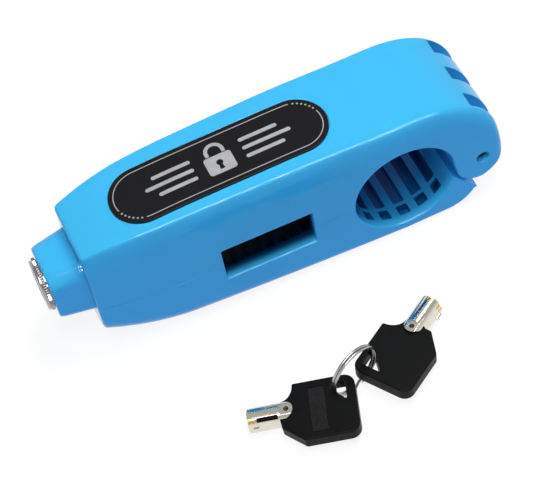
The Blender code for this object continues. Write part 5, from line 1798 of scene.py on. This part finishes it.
    def radial_block(self, name: str, degrees: float, width: float, low: float, high: float,
                     inside: float = 3.25 * MM, outside: float = 6.75 * MM) -> Piece:
        """A block that passes the tube's wall at one side.

        Args:
            name: Name of the tool.
            degrees: Its direction round the tube.
            width: Its width.
            low: Start along the tube.
            high: End along the tube.
            inside: Radius where it starts.
            outside: Radius where it ends.

        Returns:
            The tool.
        """
        turn = math.radians(degrees)
        out = Vector((math.cos(turn), math.sin(turn)))
        side = Vector((-out.y, out.x)) * (width / 2)
        near = out * inside
        beyond = out * outside
        outline = [tuple(p) for p in (near - side, beyond - side, beyond + side, near + side)]
        return prism(name, Axis.X, outline, low, high)

    def rivet(self, name: str) -> Piece:
        """The sunk rivet, hollow at both ends."""
        high = self.tube_radius - 0.75 * MM
        right = [(high - 0.1 * MM, 0.92 * MM), (high, 0.8 * MM), (high - 0.1 * MM, 0.55 * MM), (high - 0.9 * MM, 0.0)]
        left = [(-along, wide) for along, wide in reversed(right)]
        return turned(name, Axis.Z, (-self.tongue / 2, 0.0), left + right, 24)

    def ring(self) -> Piece:
        """The split ring: two flat turns of wire that cross over between their tapered ends."""
        along, across = self.ring_axes()
        count = 180
        total = 4.0 * math.pi - 2.0 * self.ring_gap
        rings = []
        for step in range(count + 1):
            sweep = self.ring_gap + total * step / count
            crossing = ease((sweep - 2.0 * math.pi + self.ring_gap) / (2.0 * self.ring_gap))
            shift = self.ring_offset * (2.0 * crossing - 1.0)
            out = along * math.sin(sweep) - Vector((0.0, 0.0, math.cos(sweep)))
            middle = Vector(self.ring_spot) + out * self.ring_radius + across * shift
            taper = min(1.0, 0.45 + 0.55 * min(step, count - step) / 3.0)
            ring = []
            for turn in range(14):
                around = 2.0 * math.pi * turn / 14
                ring.append(tuple(middle + out * (1.1 * self.ring_wire * taper * math.cos(around))
                                  + across * (1.16 * self.ring_wire * taper * math.sin(around))))
            rings.append(ring)
        return skin("split_ring_dressed", rings)


@dataclass
class Studio:
    """Pale floor, soft light and the camera."""

    right: Point3 = (0.905, -0.404, -0.133)
    down: Point3 = (-0.404, -0.718, -0.566)
    forward: Point3 = (0.133, 0.566, -0.814)
    distance: float = 0.8191
    focal_pixels: float = 2038.0
    image: tuple[int, int] = (552, 501)
    middle: Point2 = (256.6, 245.9)
    sensor: float = 36.0
    floor_size: float = 6.0
    floor_drop: float = 0.2 * MM
    floor_bounce: Colour = (0.38, 0.60, 0.90)
    floor_shadow: Colour = (0.16, 0.16, 0.16)
    floor_glow: float = 0.88
    world_lit: float = 0.12
    sky_from: float = 0.2
    sky_to: float = 0.75
    sky_low: float = 1.0
    sky_high: float = 0.5
    overhead_size: Point2 = (1.3, 0.36)
    overhead_power: float = 11.6
    strip_size: Point2 = (1.0, 0.16)
    strip_power: float = 30.0

    def build(self) -> None:
        """Set the camera, the floor, the world and the lamps."""
        bpy.context.scene.view_settings.view_transform = "Standard"
        self.camera()
        self.floor()
        self.world()
        above = (0.12, -0.11, 1.05)
        self.lamp("overhead", above, (0.0, 0.0, 0.02), self.overhead_size, self.overhead_power)
        self.edge_strips()

    def edge_strips(self) -> None:
        """Two long lamps that only show as gloss along the edges of the blue pieces."""
        shells = bpy.data.collections.new("edge_lit")
        for piece in bpy.data.objects:
            look = piece.active_material if piece.type == "MESH" else None
            if look and look.name == GLOSS_BLUE.name:
                shells.objects.link(piece)
        strips = (("upper_strip", (0.14, -0.46, 1.00)), ("lower_strip", (0.15, -0.80, 0.70)))
        for name, spot in strips:
            strip = self.lamp(name, spot, (0.0, 0.0, 0.05), self.strip_size, self.strip_power)
            strip.visible_diffuse = False
            strip.light_linking.receiver_collection = shells

    def camera(self) -> None:
        """The camera at the photograph's angle."""
        width, height = self.image
        data = bpy.data.cameras.new("photo_camera")
        camera = bpy.data.objects.new("photo_camera", data)
        bpy.context.scene.collection.objects.link(camera)
        right, down, forward = Vector(self.right), Vector(self.down), Vector(self.forward)
        turn = Matrix((right, -down, -forward)).transposed().to_quaternion().to_matrix().to_4x4()
        camera.matrix_world = Matrix.Translation(-forward.normalized() * self.distance) @ turn
        data.sensor_width = self.sensor
        data.lens = self.focal_pixels * self.sensor / width
        data.shift_x = (width / 2 - self.middle[0]) / width
        data.shift_y = -(height / 2 - self.middle[1]) / width
        data.clip_start = 0.01
        data.dof.use_dof = False
        bpy.context.scene.camera = camera

    def seen(self, tree: NodeTree) -> Socket:
        """A socket that is 1 for camera, glossy and transmission rays.

        Args:
            tree: Nodes that are added to.

        Returns:
            The socket.
        """
        rays = tree.add("ShaderNodeLightPath").outputs
        first = tree.math("MAXIMUM", rays["Is Camera Ray"], rays["Is Glossy Ray"])
        return tree.math("MAXIMUM", first, rays["Is Transmission Ray"])

    def mix(self, tree: NodeTree, lit: bpy.types.Node, shown: bpy.types.Node, output: str) -> None:
        """Join what lights the lock and what is seen to a tree's output.

        Args:
            tree: Nodes that are added to.
            lit: Node that other rays meet.
            shown: Node that camera, glossy and transmission rays meet.
            output: Name of the output node.
        """
        mixed = tree.add("ShaderNodeMixShader", {
            "Fac": self.seen(tree), 1: lit.outputs[0], 2: shown.outputs[0]})
        tree.fill(tree.nodes[output], {"Surface": mixed.outputs["Shader"]})

    def floor(self) -> None:
        """A white floor that keeps a faint shadow of the lock."""
        clear_selection()
        bpy.ops.mesh.primitive_plane_add(size=self.floor_size, location=(0.0, 0.0, 0.0))
        floor = bpy.context.object
        floor.name = "studio_floor"
        edit_all(floor)
        bpy.ops.transform.translate(value=(0.0, 0.0, -self.floor_drop))
        bpy.ops.object.mode_set(mode="OBJECT")
        made = bpy.data.materials.new("studio_floor_white")
        tree = NodeTree(made)
        tree.nodes.remove(tree.nodes["Principled BSDF"])
        bounce = tree.add("ShaderNodeBsdfDiffuse", {"Color": (*self.floor_bounce, 1.0)})
        shadow = tree.add("ShaderNodeBsdfDiffuse", {"Color": (*self.floor_shadow, 1.0)})
        glow = tree.add("ShaderNodeEmission", {"Strength": self.floor_glow})
        both = tree.add("ShaderNodeAddShader", {0: glow.outputs[0], 1: shadow.outputs[0]})
        self.mix(tree, bounce, both, "Material Output")
        floor.data.materials.append(made)

    def world(self) -> None:
        """White round the horizon and greyer overhead for what is seen, softer for what is lit."""
        world = bpy.data.worlds.new("studio_world")
        bpy.context.scene.world = world
        tree = NodeTree(world)
        plain = (1.0, 1.0, 1.0, 1.0)
        lit = tree.nodes["Background"]
        tree.fill(lit, {"Color": plain, "Strength": self.world_lit})
        spot = tree.add("ShaderNodeTexCoord").outputs["Generated"]
        height = tree.add("ShaderNodeSeparateXYZ", {"Vector": spot}).outputs["Z"]
        fall = tree.add("ShaderNodeMapRange", {
            "Value": height, "From Min": self.sky_from, "From Max": self.sky_to,
            "To Min": self.sky_low, "To Max": self.sky_high})
        fall.interpolation_type = "SMOOTHSTEP"
        white = tree.add("ShaderNodeBackground", {
            "Color": plain, "Strength": fall.outputs["Result"]})
        self.mix(tree, lit, white, "World Output")

    def lamp(self, name: str, spot: Point3, aim: Point3, size: Point2, power: float) -> Piece:
        """A rectangular soft lamp.

        Args:
            name: Name of the lamp.
            spot: Its place.
            aim: Point that it shines at.
            size: Its width and height.
            power: Its power in watts.

        Returns:
            The lamp.
        """
        data = bpy.data.lights.new(name, "AREA")
        data.shape = "RECTANGLE"
        data.size, data.size_y = size
        data.energy = power
        lamp = bpy.data.objects.new(name, data)
        bpy.context.scene.collection.objects.link(lamp)
        away = Vector(aim) - Vector(spot)
        lamp.rotation_euler = away.to_track_quat("-Z", "Y").to_euler()
        lamp.location = spot
        return lamp


def main() -> None:
    """Build every sub-assembly in order."""
    logging.basicConfig(level=logging.INFO, format="%(name)s %(message)s")
    blue = GLOSS_BLUE.make()
    chrome = CHROME.make()
    steel = PLATED_STEEL.make()
    brass = BRASS.make()
    dark = DARK_RIVET.make()
    form = ShellForm()
    Shells(form, blue).build()
    Badge(form, BADGE_BLACK.make(), SILVER_PRINT.make()).build()
    LockUnit(blue, chrome, steel, brass).build()
    Latch(form, steel, SPRING_WIRE.make(), dark).build()
    KeySet(BOW_PLASTIC.make(), BOW_PANEL.make(), NICKEL.make(), RING_WIRE.make(),
           dark, brass).build()
    Studio().build()


if __name__ == "__main__":
    main()
